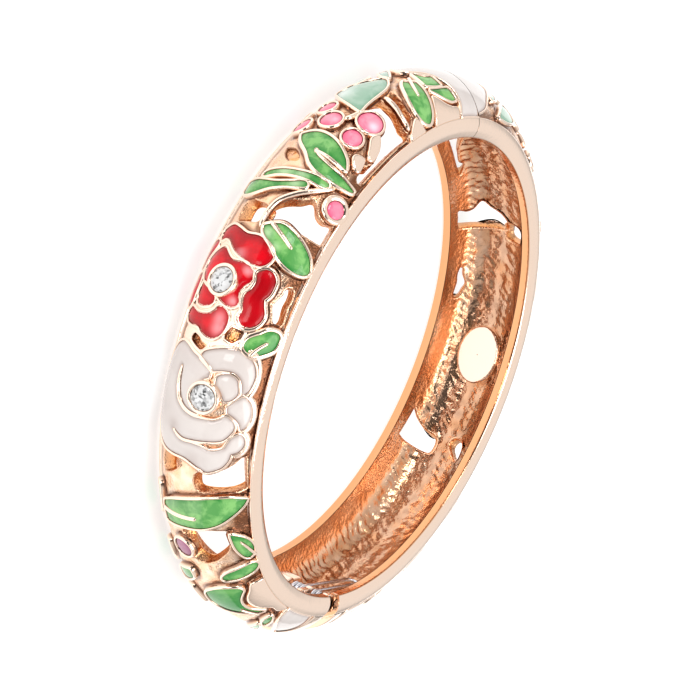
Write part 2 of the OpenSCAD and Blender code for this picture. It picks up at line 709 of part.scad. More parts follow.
module front_end_panels() color("#ece4e0") enamel(end_cells);
module front_rose_petals() color("#ece4e0") enamel(rose_cells);
module front_red_petals() color("#d8141e") enamel(red_cells);
module front_green_leaves() color("#46b85a") enamel(green_cells);
module front_mint_leaf() color("#a8dcc0") enamel(mint_cells);
module front_pink_berries() color("#f58fb4") berry_enamel(pink_berries);
module front_lilac_berry() color("#b47aaa") berry_enamel(lilac_berries);
module front_red_flower_stone() color("#f4f4ff") stone(red_flower_stone);
module front_rose_stone() color("#f4f4ff") stone(rose_stone);

module back_end_panels() turned_over() front_end_panels();
module back_rose_petals() turned_over() front_rose_petals();
module back_red_petals() turned_over() front_red_petals();
module back_green_leaves() turned_over() front_green_leaves();
module back_mint_leaf() turned_over() front_mint_leaf();
module back_pink_berries() turned_over() front_pink_berries();
module back_lilac_berry() turned_over() front_lilac_berry();
module back_red_flower_stone() turned_over() front_red_flower_stone();
module back_rose_stone() turned_over() front_rose_stone();

front_half();
back_half();
hinge_pin();
hinge_spring();
front_end_panels();
front_rose_petals();
front_red_petals();
front_green_leaves();
front_mint_leaf();
front_pink_berries();
front_lilac_berry();
front_red_flower_stone();
front_rose_stone();
back_end_panels();
back_rose_petals();
back_red_petals();
back_green_leaves();
back_mint_leaf();
back_pink_berries();
back_lilac_berry();
back_red_flower_stone();
back_rose_stone();
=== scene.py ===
# %% [markdown]
# # An enamelled, hinged bangle
# The real bangle is two pierced castings in a rose gold tone, joined by a sprung hinge. Raised gold
# borders hold pools of glossy enamel, and a cut stone sits in a cup on each large flower.
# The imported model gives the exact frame. Here each casting and each enamel inlay gets its
# rounded, domed and textured surface, worked out on whole numpy arrays.

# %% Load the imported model
import bpy
import numpy as np
from mathutils import Matrix, Vector
from mathutils.geometry import tessellate_polygon


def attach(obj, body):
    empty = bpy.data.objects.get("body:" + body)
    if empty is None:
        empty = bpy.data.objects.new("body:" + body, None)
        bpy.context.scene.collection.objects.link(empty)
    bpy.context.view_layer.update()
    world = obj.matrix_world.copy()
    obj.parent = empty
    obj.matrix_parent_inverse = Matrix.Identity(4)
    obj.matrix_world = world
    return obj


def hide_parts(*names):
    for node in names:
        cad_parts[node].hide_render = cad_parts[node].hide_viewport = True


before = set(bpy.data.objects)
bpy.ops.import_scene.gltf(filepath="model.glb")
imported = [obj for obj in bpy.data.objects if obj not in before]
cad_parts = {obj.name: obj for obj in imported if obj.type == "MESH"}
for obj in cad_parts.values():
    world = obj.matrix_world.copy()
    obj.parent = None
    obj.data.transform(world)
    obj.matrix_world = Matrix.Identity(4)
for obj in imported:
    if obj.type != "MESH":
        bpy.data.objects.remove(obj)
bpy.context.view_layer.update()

# %% [markdown]
# ## The dome and its chart
# Across its width the band is an arc of a circle, carried round the wrist. It could be modelled
# flat and bent by a modifier, but that squeezes the pattern near the rims. Here a place on it is
# two numbers, as on a chart: s, the degrees from the hinge, and w, the millimetres from the crest
# line. All shapes are drawn on this chart and then wrapped on the dome at their right size.

# %% The band's sizes, in millimetres, and the dome
MM = 0.001
DEG = np.pi / 180
INNER_R, BAND_W, RIM_T, CROWN_H = 29.0, 13.5, 1.8, 4.7
RELIEF_H, WALL_T, LIP_W = 0.55, 1.35, 7.9
HALF_W = BAND_W / 2
CROWN_R = (HALF_W ** 2 + CROWN_H ** 2) / (2 * CROWN_H)
CROWN_C = INNER_R + RIM_T + CROWN_H - CROWN_R
BASE_R = CROWN_R - RELIEF_H
BORE_R = BASE_R - WALL_T
PER_DEG = 0.6  # chart millimetres to a degree
HINGE_X, SEAM_GAP = 30.4, 0.06
LATTICE = 64  # random numbers along each side of a table of lumps


def on_dome(chart, lift):
    """Point at chart (x, w), raised by lift: x / 0.6 degrees round the ring, and w / radius radians
    across it."""
    s = chart[..., 0] / PER_DEG * DEG
    turn = chart[..., 1] / CROWN_R
    reach = CROWN_C + (CROWN_R + lift) * np.cos(turn)
    up = HALF_W + (CROWN_R + lift) * np.sin(turn)
    return np.stack([reach * np.cos(s), -reach * np.sin(s), up], -1)


def s_curve(t):
    """From 0 to 1 with level ends: three times t squared, less two times t cubed."""
    return t * t * (3 - 2 * t)


def smooth_step(x, low, high):
    """0 below low, 1 above high, with an S curve between."""
    return s_curve(np.clip((x - low) / (high - low), 0, 1))


def lumps(x, y, size, seed):
    """Smooth random heights from -1 to 1: random numbers on a lattice of the size, blended by an
    S curve."""
    table = np.random.default_rng(seed).uniform(-1, 1, (LATTICE, LATTICE))
    gx, gy = x / size, y / size
    ix, iy = np.floor(gx).astype(int), np.floor(gy).astype(int)
    fx, fy = s_curve(gx - ix), s_curve(gy - iy)
    near, far = [table[ix % LATTICE, row % LATTICE] * (1 - fx)
                 + table[(ix + 1) % LATTICE, row % LATTICE] * fx for row in (iy, iy + 1)]
    return near * (1 - fy) + far * fy


def unit(v):
    """The vectors brought to a length of 1."""
    return v / np.maximum(np.linalg.norm(v, axis=-1, keepdims=True), 1e-9)


def run(path):
    """Distance along a path at each of its points, from 0."""
    return np.concatenate([[0], np.cumsum(np.linalg.norm(np.diff(path, axis=0), axis=1))])


print("dome radius", round(CROWN_R, 3), "at", round(CROWN_C, 3), "mm from the axis")

# %% [markdown]
# ## The pattern, charted
# The flowers and leaves could be drawn with curve objects. Rows of numbers are easier to correct by
# a tenth of a millimetre, and one row of them shapes an enamel cell, its border and the field
# beside it. A row is (degrees from the hinge, mm from the crest line), and a third number marks a
# sharp corner. The chart serves both halves: the back one is the same casting turned over.

# %% White cells: the panels at both ends and the rose
END_PANELS = {
    "seam_panel": [(181.5, 7.7, 1), (172.6, 7.7, 1), (173.9, 6), (174, 4), (172.6, 2), (170.4, 0.6),
        (167.6, -0.6), (166.9, -1.8, 1), (169.5, -3.3), (173, -5), (176, -6.6), (181.5, -7.6, 1)],
    "hinge_panel": [(19.4, 7.8, 1), (18.6, 6.6), (16.5, 5.5), (13.6, 4.5), (10.8, 3.4),
        (8.8, 2.8, 1), (7.6, 4.4), (7.4, 6.2), (8.4, 7.8, 1)],
    "hinge_panel_low": [(19.4, -7.8, 1), (18.6, -6.6), (16.5, -5.5), (13.6, -4.5), (10.8, -3.4),
        (8.8, -2.8, 1), (7.6, -4.4), (7.4, -6.2), (8.4, -7.8, 1)],
}
ROSE = {
    "rose_1": [(93.1, 3.2), (92.6, 4.6), (91.4, 5.6), (89.6, 6.1), (87.6, 6.1), (86, 5.8),
        (85.1, 5.2, 1), (86.4, 5.1), (88, 4.7), (89, 3.8), (88.9, 2.6), (88.2, 1.3, 1), (88.9, 0.6),
        (89.8, -0.6, 1), (91, -0.2), (92.2, 1.2)],
    "rose_2": [(88.3, 3.4), (87.8, 4.2), (86.6, 4.5), (85.4, 4.7), (84.4, 4.5), (83.6, 4),
        (83.3, 3.4, 1), (84.5, 2.9), (85.6, 2.2), (86.4, 2), (87.4, 2.1), (88, 2.7)],
    "rose_3": [(84.7, 5.6), (83.6, 6.4), (81.9, 6.8), (80, 6.8), (78.7, 6.4), (78.1, 5.9, 1),
        (79.4, 5.6), (80.5, 4.9), (81.2, 4.1, 1), (82.2, 4), (83.4, 4.6), (84.4, 5.2)],
    "rose_outer": [(87.9, 1, 1), (88.6, 0.4), (89.4, -0.7), (90, -1.9), (90.7, -2.9), (91, -3.9),
        (90.5, -4.8), (89.6, -5.5), (88, -6.3), (85.5, -6.9), (82.5, -7.1), (79.9, -7),
        (77.5, -6.9), (75.5, -6.6), (73.6, -6.2), (71.8, -5.6), (70.7, -4.7), (70.1, -3.5),
        (70.1, -2), (70.3, -0.6), (70, 0.4), (69.2, 1.6), (68.6, 2.6), (69, 3.4), (70, 4.4),
        (71.5, 5), (72.9, 5.2, 1), (73.2, 5.8), (73.8, 6.3), (75, 6.6), (76.4, 6.4), (77.1, 5.9, 1),
        (76.2, 5.1), (75, 4.7), (73.8, 4.3), (73.1, 3.3), (73, 2.6), (73.4, 1.7), (73.5, 0.6),
        (73.3, -0.3), (73.3, -1.1), (73.8, -1.9), (74.7, -2.5), (75, -2.4), (74.5, -1.7),
        (74.1, -0.8), (74.3, 0.3), (74.6, 1.5), (74.9, 2.5), (75.2, 3.4), (75.8, 4.2), (77.3, 4.9),
        (78.4, 5.1), (79.3, 4.9), (79.9, 4.5), (80.4, 4, 1), (79.6, 3.4), (79, 2.7), (78.8, 1.6),
        (78.6, 0.3), (78.75, -0.5), (79.1, -1.3), (79.7, -1.95), (80.6, -2.6), (82.6, -3.2),
        (85, -3.4), (86.9, -3.2), (87, -2.9), (85.4, -2.75), (83.6, -2.6), (81.6, -2.1),
        (80.3, -1.3), (79.7, -0.4), (79.6, 0.6, 1), (83, 1.4), (85.8, 0.4), (86.8, 1, 1)],
}
ROSE_EDGE = [(94, 4.4), (93.2, 5.6), (91.8, 6.3), (89.6, 6.7), (87.4, 6.7), (85.6, 6.4),
    (84.9, 6.2), (83.8, 6.9), (81.9, 7.3), (80, 7.3), (78.4, 6.9), (77.6, 6.5), (76.6, 7),
    (75, 7.15), (73.6, 6.9), (72.5, 6.2), (72.1, 5.6)]
print("white cells", [*END_PANELS, *ROSE])

# %% Red cells: the petals of the red flower
RED = {
    "red_1": [(113.9, 0.6), (113.2, 2), (112, 2.9), (110.6, 3), (109.2, 2.4), (108.8, 1.4),
        (109.1, 0.2), (109.7, -1.1), (110.6, -2.1), (111.6, -2.9), (111.9, -3.8), (111.4, -4.6),
        (112.6, -5), (113.9, -4.6), (114.6, -3.6), (114.2, -2.4), (113.6, -1)],
    "red_2": [(108.6, 2.9), (108.7, 3.8), (107.6, 4.5), (106.2, 4.6), (104.8, 4.5), (103.6, 4.1, 1),
        (102.3, 4.4), (100.8, 4.8), (99.2, 4.6), (98, 3.9), (97.7, 2.9), (98.8, 2.2), (100.2, 2.4),
        (101.7, 2.1), (103.2, 2), (104.6, 2.5), (106.2, 2.6), (107.6, 2.3)],
    "red_3": [(110, -3.2), (109, -2.2), (108.2, -1.2), (108.4, 0.5), (107.6, 1.7), (106, 2),
        (104.4, 1.4), (102.8, 1.2), (101.4, 1.6), (100.3, 1.2), (100.3, 0.1), (100.9, -0.8, 1),
        (102, -2.2), (103.3, -4.4), (105.3, -5.2), (107.4, -5), (109, -4.3)],
    "red_4": [(100.4, -1.4), (99.3, -1.6), (98.6, -2.8), (98.9, -3.9), (100.6, -4.4),
        (102.5, -4.4, 1), (102, -3), (101.2, -1.9)],
    "red_5": [(99.5, 0.3), (98.6, 1), (97, 1.2), (95.3, 1), (94, 0.4), (93.6, -0.5), (94, -1.5),
        (94.8, -2.3), (94.7, -3.4), (95, -4.6), (96.3, -5.2), (97.5, -4.7), (97.1, -3.2),
        (97.5, -1.6), (98.5, -0.8), (99.5, -0.4)],
    "red_6": [(104, -5.6), (102.5, -5.3), (100.2, -5.3), (98.4, -5.3), (97.2, -5.9), (98.2, -6.8),
        (100.5, -7.1), (103, -7), (104, -6.4)],
    "red_7": [(110.8, -4.9), (109.4, -5.1), (107.4, -5.8), (105.3, -6), (104.9, -6.6),
        (105.6, -7.1), (107.8, -7.2), (110, -6.9), (111.2, -6)],
}
print("red cells", [*RED])

# %% Green and mint cells: leaves and blades
GREEN = {
    "leaf_l": [(172.3, 5.6, 1), (170.5, 5.6), (168.6, 5), (166, 3.6, 1), (168.2, 3.8), (170.2, 3.9),
        (172.2, 4, 1)],
    "leaf_m": [(170.6, 3.3, 1), (168.6, 3.2), (166.2, 2.8, 1), (166.6, 1.4), (167.2, 0.3, 1),
        (168.4, 1.1), (169.6, 1.6), (170.8, 1.7, 1)],
    "leaf_k": [(160, 7.2), (158.4, 6.7), (157.8, 5.5), (158.4, 4), (159.6, 2.6), (161, 1.6),
        (162.4, 1.1, 1), (163.2, 1.6), (164.6, 1.9, 1), (164.1, 3.5), (163.1, 5), (161.7, 6.4)],
    "leaf_c": [(134, 4.7, 1), (135.8, 3.9), (137.4, 2.3), (138.3, 0.6), (138.3, -1.2),
        (137.2, -2.7, 1), (135.4, -1.9), (133.2, -0.2), (131.2, 1.1), (130.3, 2.6), (130.3, 4.6),
        (131, 6.4), (131.7, 7.1, 1), (132, 5.2), (132.4, 2.8), (133.2, 1), (134.5, 0.2, 1),
        (134.5, 2)],
    "blade_1": [(129.4, 3.9), (128.7, 4.3), (128.1, 3.6), (128, 2), (127.6, 0.2), (126.9, -1.8),
        (126.1, -3.4), (126.3, -4, 1), (127.1, -3.6), (127.9, -1.8), (128.6, 0.4), (129.2, 2.3)],
    "blade_2": [(127.1, 2), (126.4, 2.2), (125.6, 1.3), (124.8, 0), (123.8, -1.5), (122.7, -2.8),
        (121.9, -4), (121.8, -5.2), (122.6, -6.4), (123.9, -7.1), (125.3, -7.2, 1), (125.2, -6),
        (125.1, -4.6), (124.9, -3), (125, -1.4), (125.9, 0.3), (126.9, 1.4)],
    "leaf_d": [(111.9, 7.6), (110.9, 6.6), (111, 5), (112, 3.5), (113.6, 2.2), (115, 0.9),
        (116.2, 0.5, 1), (117.2, 1.5), (117.7, 2.5), (117.2, 3.9), (116.2, 5.4), (114.8, 6.7),
        (113.3, 7.4)],
    "leaf_e": [(98.5, 6.7), (98.2, 7.4), (97, 7.6), (95.2, 7.3), (93.9, 6.3), (93.1, 5.3),
        (93.4, 4.5), (94.3, 3.9), (95.8, 4.2), (97.2, 5.3), (98.2, 6)],
    "leaf_f": [(62, 7.5, 1), (60.6, 7), (58.6, 5.7), (56.6, 4), (55.3, 2), (54.5, -0.4),
        (53.3, -3.2, 1), (55.5, -3.6), (57.6, -3.6, 1), (59.6, -1.8), (61.3, 0.6), (62.5, 3.2),
        (62.8, 5.6)],
    "leaf_g": [(53.6, 5.4, 1), (52.4, 6.6), (50.8, 7.4), (48.6, 7.8), (46.6, 7.6), (46.2, 7),
        (47.5, 6.4), (50, 5.8)],
    "leaf_h": [(43.9, 7.2), (43.4, 5.6), (42.6, 4.2), (41.6, 3.5, 1), (40.6, 3.5), (40.4, 4.8),
        (40.8, 6.4), (41.6, 7.5), (42.9, 7.8)],
    "leaf_n": [(41.5, -0.9, 1), (39.5, -0.8), (37.5, -1.6), (35.5, -3), (34.5, -4.2, 1), (37, -3.8),
        (39.6, -2.8)],
    "leaf_i": [(37.4, 3.6), (37, 4.6), (36, 5), (34.6, 4.6), (32.5, 4.1), (30, 4), (28, 4.4),
        (26.4, 5.2), (25.2, 5.9, 1), (25.8, 4.4), (27.2, 2.9), (28.4, 1.5), (30, 0.4), (32, 0),
        (34.4, 0.2), (36.2, 1.2), (37.3, 2.4)],
    "leaf_j": [(21.4, 5.8, 1), (20, 5.5), (18.4, 4.8), (17.4, 3.9, 1), (19, 4.1), (20.6, 4.7)],
    "leaf_o": [(18.6, 3.4, 1), (16.8, 3), (14.4, 2.2), (12, 1.4), (9.5, 0.4, 1), (12.5, 0.4),
        (15.2, 1.3), (17.2, 2.3)],
    "leaf_p": [(44, -5.2), (41, -5), (37, -5.6), (33, -7, 1), (37, -7.4), (41.5, -6.8)],
    "leaf_q": [(60, -5.4), (57, -5), (53, -5.6), (50, -7, 1), (53.5, -7.4), (58, -6.8)],
    "leaf_r": [(31, -3.2), (28, -2.2), (25.4, -2.6), (23.6, -4.2), (23.2, -6, 1), (26, -5.6),
        (29, -4.6)],
}
MINT = {
    "mint_1": [(147.4, 1.1, 1), (150, 0.9), (154, 0.8), (157, 0.6), (159.3, -0.1), (160.4, -1.1),
        (158, -2.4), (156, -4), (153.4, -4.7), (151, -3.4), (149.2, -1.9), (148, -0.2)],
    "mint_2": [(161.6, -0.8, 1), (164, -1.8), (167, -3.2), (170, -4.8, 1), (167, -4.2), (164, -2.9),
        (162, -1.8)],
    "mint_3": [(157.2, -3.4, 1), (160, -3.4), (163, -4.3), (166, -5.6), (168.5, -7, 1), (164, -6.8),
        (160, -6), (157.5, -4.9)],
}
print("green cells", [*GREEN], "mint cells", [*MINT])

# %% Berries as (degrees, mm, radius), stones as (degrees, mm), and the plain gold forms
PINK_BERRIES = [(146.4, 3.1, 1.5), (140.7, 2.9, 1.15), (142.6, -0.9, 1.25), (146.3, -3.1, 1.05),
    (140.3, -4.4, 1.15), (144, -6.2, 1.0), (126, 6.7, 1.15)]
LILAC_BERRIES = [(48.2, -1, 1.2)]
RINGED_BERRY = (126.1, 6.6, 1.85)
RED_FLOWER_STONE, ROSE_STONE = (104.1, -1.1), (83.0, 1.1)
PADS = [
    [(171.6, 8, 1), (172.3, 6.6), (170, 6.2), (168, 5.6), (165.6, 4.3), (164.6, 4.9), (163, 6.6),
     (161.5, 8, 1)],
    [(158, 8, 1), (157.4, 6.4), (156.6, 5.8), (154.8, 6.4), (152.6, 7.4), (152, 8, 1)],
    [(37.5, 8, 1), (37.2, 6.2), (35, 5.6), (32.5, 4.9), (30, 4.8), (27.5, 5.4), (25, 6.6),
     (22, 6.8), (20, 8, 1)],
    [(145.8, 4.9), (143.3, 6.2), (140.2, 6.6), (139.3, 5.9), (141.5, 5), (143.8, 4.3)],
    [(139, 5.7), (136.8, 6.2), (135.4, 6.1), (135.4, 5.2), (137.3, 4.3), (138.6, 4.6)],
]
STEMS = [
    [(129.6, 5.2), (127, 3.6), (124.2, 1.6), (121.6, 0.2), (118.8, -0.2), (115.6, -0.1)],
    [(154.7, 1.4), (154.2, 3.4), (153.6, 5), (153.2, 6.8)],
    [(147.6, 1.3), (145, 0.8), (143.8, 0.2)],
    [(149.5, -3.4), (146.5, -5.2)],
]
# the third number of a vein is its half width
VEINS = [
    [(117.3, 1.0, 0.3), (115.7, 3.0, 0.29), (114.3, 4.6, 0.27)],
    [(92.6, 4.7, 0.27), (94.6, 5.5, 0.25), (96.3, 6.45, 0.22)],
    [(56.1, -3.7, 0.32), (56.5, -2, 0.32), (57.5, 1.6, 0.3)],
    [(46.0, 8.0, 0.2), (49.3, 7.1, 0.2), (51.4, 6.4, 0.16)],
    [(164.3, 0.9, 0.26), (162.4, 2.4, 0.25), (161.2, 3.9, 0.2)],
    [(24.6, 5.0, 0.2), (26.6, 4.3, 0.2), (28.8, 3.5, 0.16)],
]
print("berries", len(PINK_BERRIES + LILAC_BERRIES), "pads", len(PADS), "stems", len(STEMS))

# %% Pierced gaps and blind pits
GAPS = [
    [(157.5, 2.4), (157.2, 4.6), (156, 5.5), (154.3, 6), (153.8, 5.2), (154.5, 4), (155, 2.4),
     (156.4, 1.6)],
    [(153, 7.2), (150, 7.3), (136.2, 7.3), (135.7, 6.8), (137.5, 6.5), (139, 7), (142, 6.8),
     (144.5, 6.2), (146.5, 5.4), (148.7, 4.7), (149.7, 3.2), (149, 2.1), (151, 1.7), (153.6, 2),
     (154, 3.6), (153.1, 5.2), (152.4, 6.2)],
    [(123.3, 7.3), (122.5, 6.2), (123, 5.2), (124.8, 4.2), (123.4, 3.2), (122, 1.8), (120.6, 1),
     (119.4, 0.8), (118.6, 1.6), (118.3, 4), (118.6, 7), (119.4, 7.4), (121.5, 7.4)],
    [(120.3, -1.1), (118.4, -0.9), (116.7, -1.3), (116.9, -3.1), (118.2, -3.5), (120.2, -3.3)],
    [(107.4, 7.1), (105.8, 7.35), (104, 7.25), (102.5, 7.35), (101, 7.45), (100.1, 7.2),
     (100.5, 6.75), (101.8, 6.45), (102.8, 6.15), (103.6, 6.15), (104.6, 6.35), (105.8, 6.65),
     (107, 6.75)],
    [(71.4, 7.15, 1), (66, 7.4), (64.4, 7.5, 1), (63.9, 6.3), (63.8, 4), (64, 2.9), (64.8, 2.6),
     (66.6, 2.6), (67.7, 2.9), (68, 3.4), (68.1, 4.1), (68.7, 5.1), (69.7, 6.1), (70.6, 6.7)],
    [(69, -1.9), (67.4, -1.5), (65.2, -2.8), (64.4, -3.8), (66.5, -3.8), (68.4, -3.2)],
]
FRONT_GAP = [(53.8, 4.6), (51.5, 4.8), (48.9, 4.7), (47, 3.8), (45.3, 2.4), (46.5, 1.2),
    (49.5, 0.8), (52.6, 0.6), (53.5, 1.8)]
PITS = [
    [(97, 1.9, 1), (96.7, 3.4, 1), (95.1, 3.2, 1), (93.9, 2.5, 1), (94.3, 1.5, 1), (95.4, 1.4)],
    [(92.1, -3, 1), (93.5, -2.7, 1), (93.2, -1.8), (92.5, -1.1), (92.2, -0.2, 1), (90.8, -0.9, 1),
     (91.3, -1.9)],
    [(134.4, -4.4, 1), (134, -2.6, 1), (132.9, -1.5), (131.3, -0.9), (130.9, -1.8), (131.3, -2.8),
     (132.8, -3.9)],
]
print("cells", sum(len(t) for t in (END_PANELS, ROSE, RED, GREEN, MINT)), "gaps", len(GAPS) + 1)

# %% [markdown]
# ## Tools for curves and surfaces
# A charted outline becomes a smooth loop with even steps. A bead is a small profile carried along a
# loop. A cap is a piece of grid cut off exactly at the loop. Boolean modifiers could do the
# cutting, but they are slow on a surface of this many faces. The cutter here works on whole arrays,
# and it blends the numbers that are stored at each point across the cut.

# %% Smooth loops and lines
STEP = 0.16  # mm between the points of an outline
SHARP = 0.6  # slope at a sharp corner, as a share of the side
PER_SIDE = 10  # points on each cubic
CHUNK = 4000  # points whose distances are worked out at once


def even_steps(curve, step, closed):
    """The same curve with points at equal distances along it, about one step apart."""
    path = np.vstack([curve, curve[:1]]) if closed else curve
    along = run(path[:, :2])
    n = max(8, int(np.ceil(along[-1] / step)))
    at = np.linspace(0, along[-1], n, endpoint=not closed)
    return np.stack([np.interp(at, along, column) for column in path.T], -1)


def cubic(p, q, start, end, t):
    """The cubic from p to q with the given slopes: both blended by the usual four weights of t."""
    return ((2 * t ** 3 - 3 * t ** 2 + 1) * p + (t ** 3 - 2 * t ** 2 + t) * start
            + (3 * t ** 2 - 2 * t ** 3) * q + (t ** 3 - t ** 2) * end)


def turning(loop):
    """Twice the area inside a loop, above 0 where it goes round anticlockwise."""
    after = np.roll(loop, -1, 0)
    return np.sum(loop[:, 0] * after[:, 1] - loop[:, 1] * after[:, 0])


def anticlockwise(loop):
    """The loop, turned round if it goes clockwise."""
    return loop if turning(loop) > 0 else loop[::-1]


def smooth_loop(rows):
    """Closed anticlockwise curve through charted rows: cubics whose end slopes are half the chord
    between the neighbours, or a share of the side at a sharp corner."""
    p = np.array([row[:2] for row in rows], float) * [PER_DEG, 1]
    sharp = np.array([len(row) > 2 for row in rows])[:, None]
    after = np.roll(p, -1, 0)
    slope = (after - np.roll(p, 1, 0)) / 2
    start = np.where(sharp, (after - p) * SHARP, slope)[:, None]
    end = np.where(np.roll(sharp, -1, 0), (after - p) * SHARP, np.roll(slope, -1, 0))[:, None]
    t = np.linspace(0, 1, PER_SIDE, endpoint=False)[None, :, None]
    curve = cubic(p[:, None], after[:, None], start, end, t)
    return anticlockwise(even_steps(curve.reshape(-1, 2), STEP, True))


def round_loop(s, w, r):
    """Circle of radius r on the chart, anticlockwise."""
    a = np.linspace(0, 2 * np.pi, int(2 * np.pi * r / STEP) + 8, endpoint=False)
    return np.stack([s * PER_DEG + r * np.cos(a), w + r * np.sin(a)], -1)


def smooth_line(rows):
    """Open curve through charted rows, with slopes of half the chord between the neighbours. A
    third number in the rows, the half width, is carried along."""
    p = np.array(rows, float)
    p[:, 0] *= PER_DEG
    slope = np.gradient(p, axis=0)[:, None]
    t = np.linspace(0, 1, PER_SIDE)[None, :, None]
    curve = cubic(p[:-1, None], p[1:, None], slope[:-1], slope[1:], t)
    return even_steps(curve.reshape(-1, p.shape[1]), STEP, False)


def sideways(curve, closed=True):
    """Unit vector to the right of the way along the curve: outward on an anticlockwise loop."""
    way = np.roll(curve, -1, 0) - np.roll(curve, 1, 0) if closed else np.gradient(curve, axis=0)
    way = unit(way)
    return np.stack([way[:, 1], -way[:, 0]], -1)


def depth_in(points, loop):
    """Distance from each point to the loop, positive inside: the least distance to any side,
    with the sign from how many sides a ray to the right crosses."""
    near = np.empty(len(points))
    a, b = loop, np.roll(loop, -1, 0)
    side = b - a
    for part in np.array_split(np.arange(len(points)), max(1, len(points) // CHUNK)):
        p = points[part][:, None]
        t = np.sum((p - a) * side, -1) / np.maximum(np.sum(side * side, -1), 1e-12)
        t = np.clip(t, 0, 1)
        gap = np.linalg.norm(p - a - t[..., None] * side, axis=-1).min(1)
        over = (a[:, 1] > p[..., 1]) != (b[:, 1] > p[..., 1])
        rise = np.where(side[:, 1] == 0, 1, side[:, 1])
        left = p[..., 0] < side[:, 0] * (p[..., 1] - a[:, 1]) / rise + a[:, 0]
        near[part] = np.where((over & left).sum(1) % 2 == 1, gap, -gap)
    return near


print("points on the rose's largest loop", len(smooth_loop(ROSE["rose_outer"])))

# %% Faces and the cutter
def grid_faces(rows, cols, wrap_rows=False, wrap_cols=False):
    """Quads of a grid stored row by row, closed round either way if asked."""
    i = np.arange(rows if wrap_rows else rows - 1)
    j = np.arange(cols if wrap_cols else cols - 1)
    i, j = [v.ravel() for v in np.meshgrid(i, j, indexing="ij")]
    i2, j2 = (i + 1) % rows, (j + 1) % cols
    return np.stack([i * cols + j, i2 * cols + j, i2 * cols + j2, i * cols + j2], -1)


def facing(verts, faces, centre, inward=False):
    """Faces turned, all or none, so that as a whole they look away from the places that the centre
    function gives for their corners, or towards them if inward."""
    a, b, c = verts[faces[:, 0]], verts[faces[:, 1]], verts[faces[:, 2]]
    total = np.sum(np.cross(b - a, c - a) * (a - centre(a)))
    return faces[:, ::-1] if (total < 0) != inward else faces


def circle_at(radius, height):
    """A function that gives, for each point, the place in its plane of a circle round the wrist."""
    def centre(p):
        return np.concatenate([unit(p[..., :2]) * radius, np.full(p.shape[:-1] + (1,), height)], -1)
    return centre


dome_centre = circle_at(CROWN_C, HALF_W)


def cut(columns, faces, value):
    """The part of a mesh where value is above 0. Triangles across the edge are cut at the point
    where the value, taken as straight along each side, is 0. All columns of the vertices are
    blended alike."""
    quads = faces.shape[1] == 4
    tris = np.concatenate([faces[:, [0, 1, 2]], faces[:, [0, 2, 3]]]) if quads else faces
    keep = value > 0
    count = keep[tris].sum(1)
    one, two = tris[count == 1], tris[count == 2]
    first = np.argmax(keep[one], 1)
    one = np.stack([one[np.arange(len(one)), (first + k) % 3] for k in range(3)], -1)
    lost = np.argmin(keep[two], 1)
    two = np.stack([two[np.arange(len(two)), (lost + k) % 3] for k in range(3)], -1)
    sides = np.concatenate([one[:, [0, 1]], one[:, [0, 2]], two[:, [0, 1]], two[:, [0, 2]]])
    key = np.sort(sides, 1)
    unique, back = np.unique(key[:, 0] * len(value) + key[:, 1], return_inverse=True)
    a, b = unique // len(value), unique % len(value)
    t = (value[a] / np.where(value[a] == value[b], 1, value[a] - value[b]))[:, None]
    columns = np.concatenate([columns, columns[a] * (1 - t) + columns[b] * t])
    new = back + len(value)
    n1, n2 = len(one), len(two)
    ab, ac, db, dc = new[:n1], new[n1:2 * n1], new[2 * n1:2 * n1 + n2], new[2 * n1 + n2:]
    out = np.concatenate([
        tris[count == 3], np.stack([one[:, 0], ab, ac], -1),
        np.stack([db, two[:, 1], two[:, 2]], -1), np.stack([db, two[:, 2], dc], -1)])
    used, renumbered = np.unique(out, return_inverse=True)
    return columns[used], renumbered.reshape(out.shape)


print("faces of a grid of 3 by 4 points", len(grid_faces(3, 4)))

# %% Blocks of mesh and pieces
POLISHED, CAST, HAMMERED = 0, 1, 2


def changed(b, **values):
    """The same block with another depth or shade: one number, or one for each vertex."""
    count = (len(b["verts"]),)
    return {**b, **{key: np.broadcast_to(np.asarray(v, float), count) for key, v in values.items()}}


def block(verts, faces, material=POLISHED, depth=0.0, smooth=True, shade=0.0):
    """One run of mesh for a piece: vertices in mm, faces, material number, and two numbers for each
    vertex. The depth is how far it lies below the dome on gold, or in from the border on enamel.
    The shade on gold is painted shade, with some patina, from 0 to 1: how much of the view metal
    close by closes off. On enamel it is a painted highlight above 0 and painted shade below 0,
    from -1 to 1."""
    plain = {"verts": verts.reshape(-1, 3), "faces": faces, "material": material, "smooth": smooth}
    return changed(plain, depth=depth, shade=shade)


def trimmed(b):
    """The block without what lies past the seam's plane."""
    y = np.where(b["verts"][:, 0] < 0, -b["verts"][:, 1] - SEAM_GAP, 1.0)
    if y.min() > 0:
        return b
    columns, faces = cut(np.column_stack([b["verts"], b["depth"], b["shade"]]), b["faces"], y)
    depth, shade = columns[:, 3:].T
    return {**b, "verts": columns[:, :3], "depth": depth, "shade": shade, "faces": faces}


def turned_over(b):
    """The same block on the back half: half a turn about the line from the hinge to the seam."""
    return {**b, "verts": b["verts"] * [1, -1, -1] + [0, 0, BAND_W]}


def linked(name, data):
    """A new object with this data, in the scene."""
    obj = bpy.data.objects.new(name, data)
    bpy.context.scene.collection.objects.link(obj)
    return obj


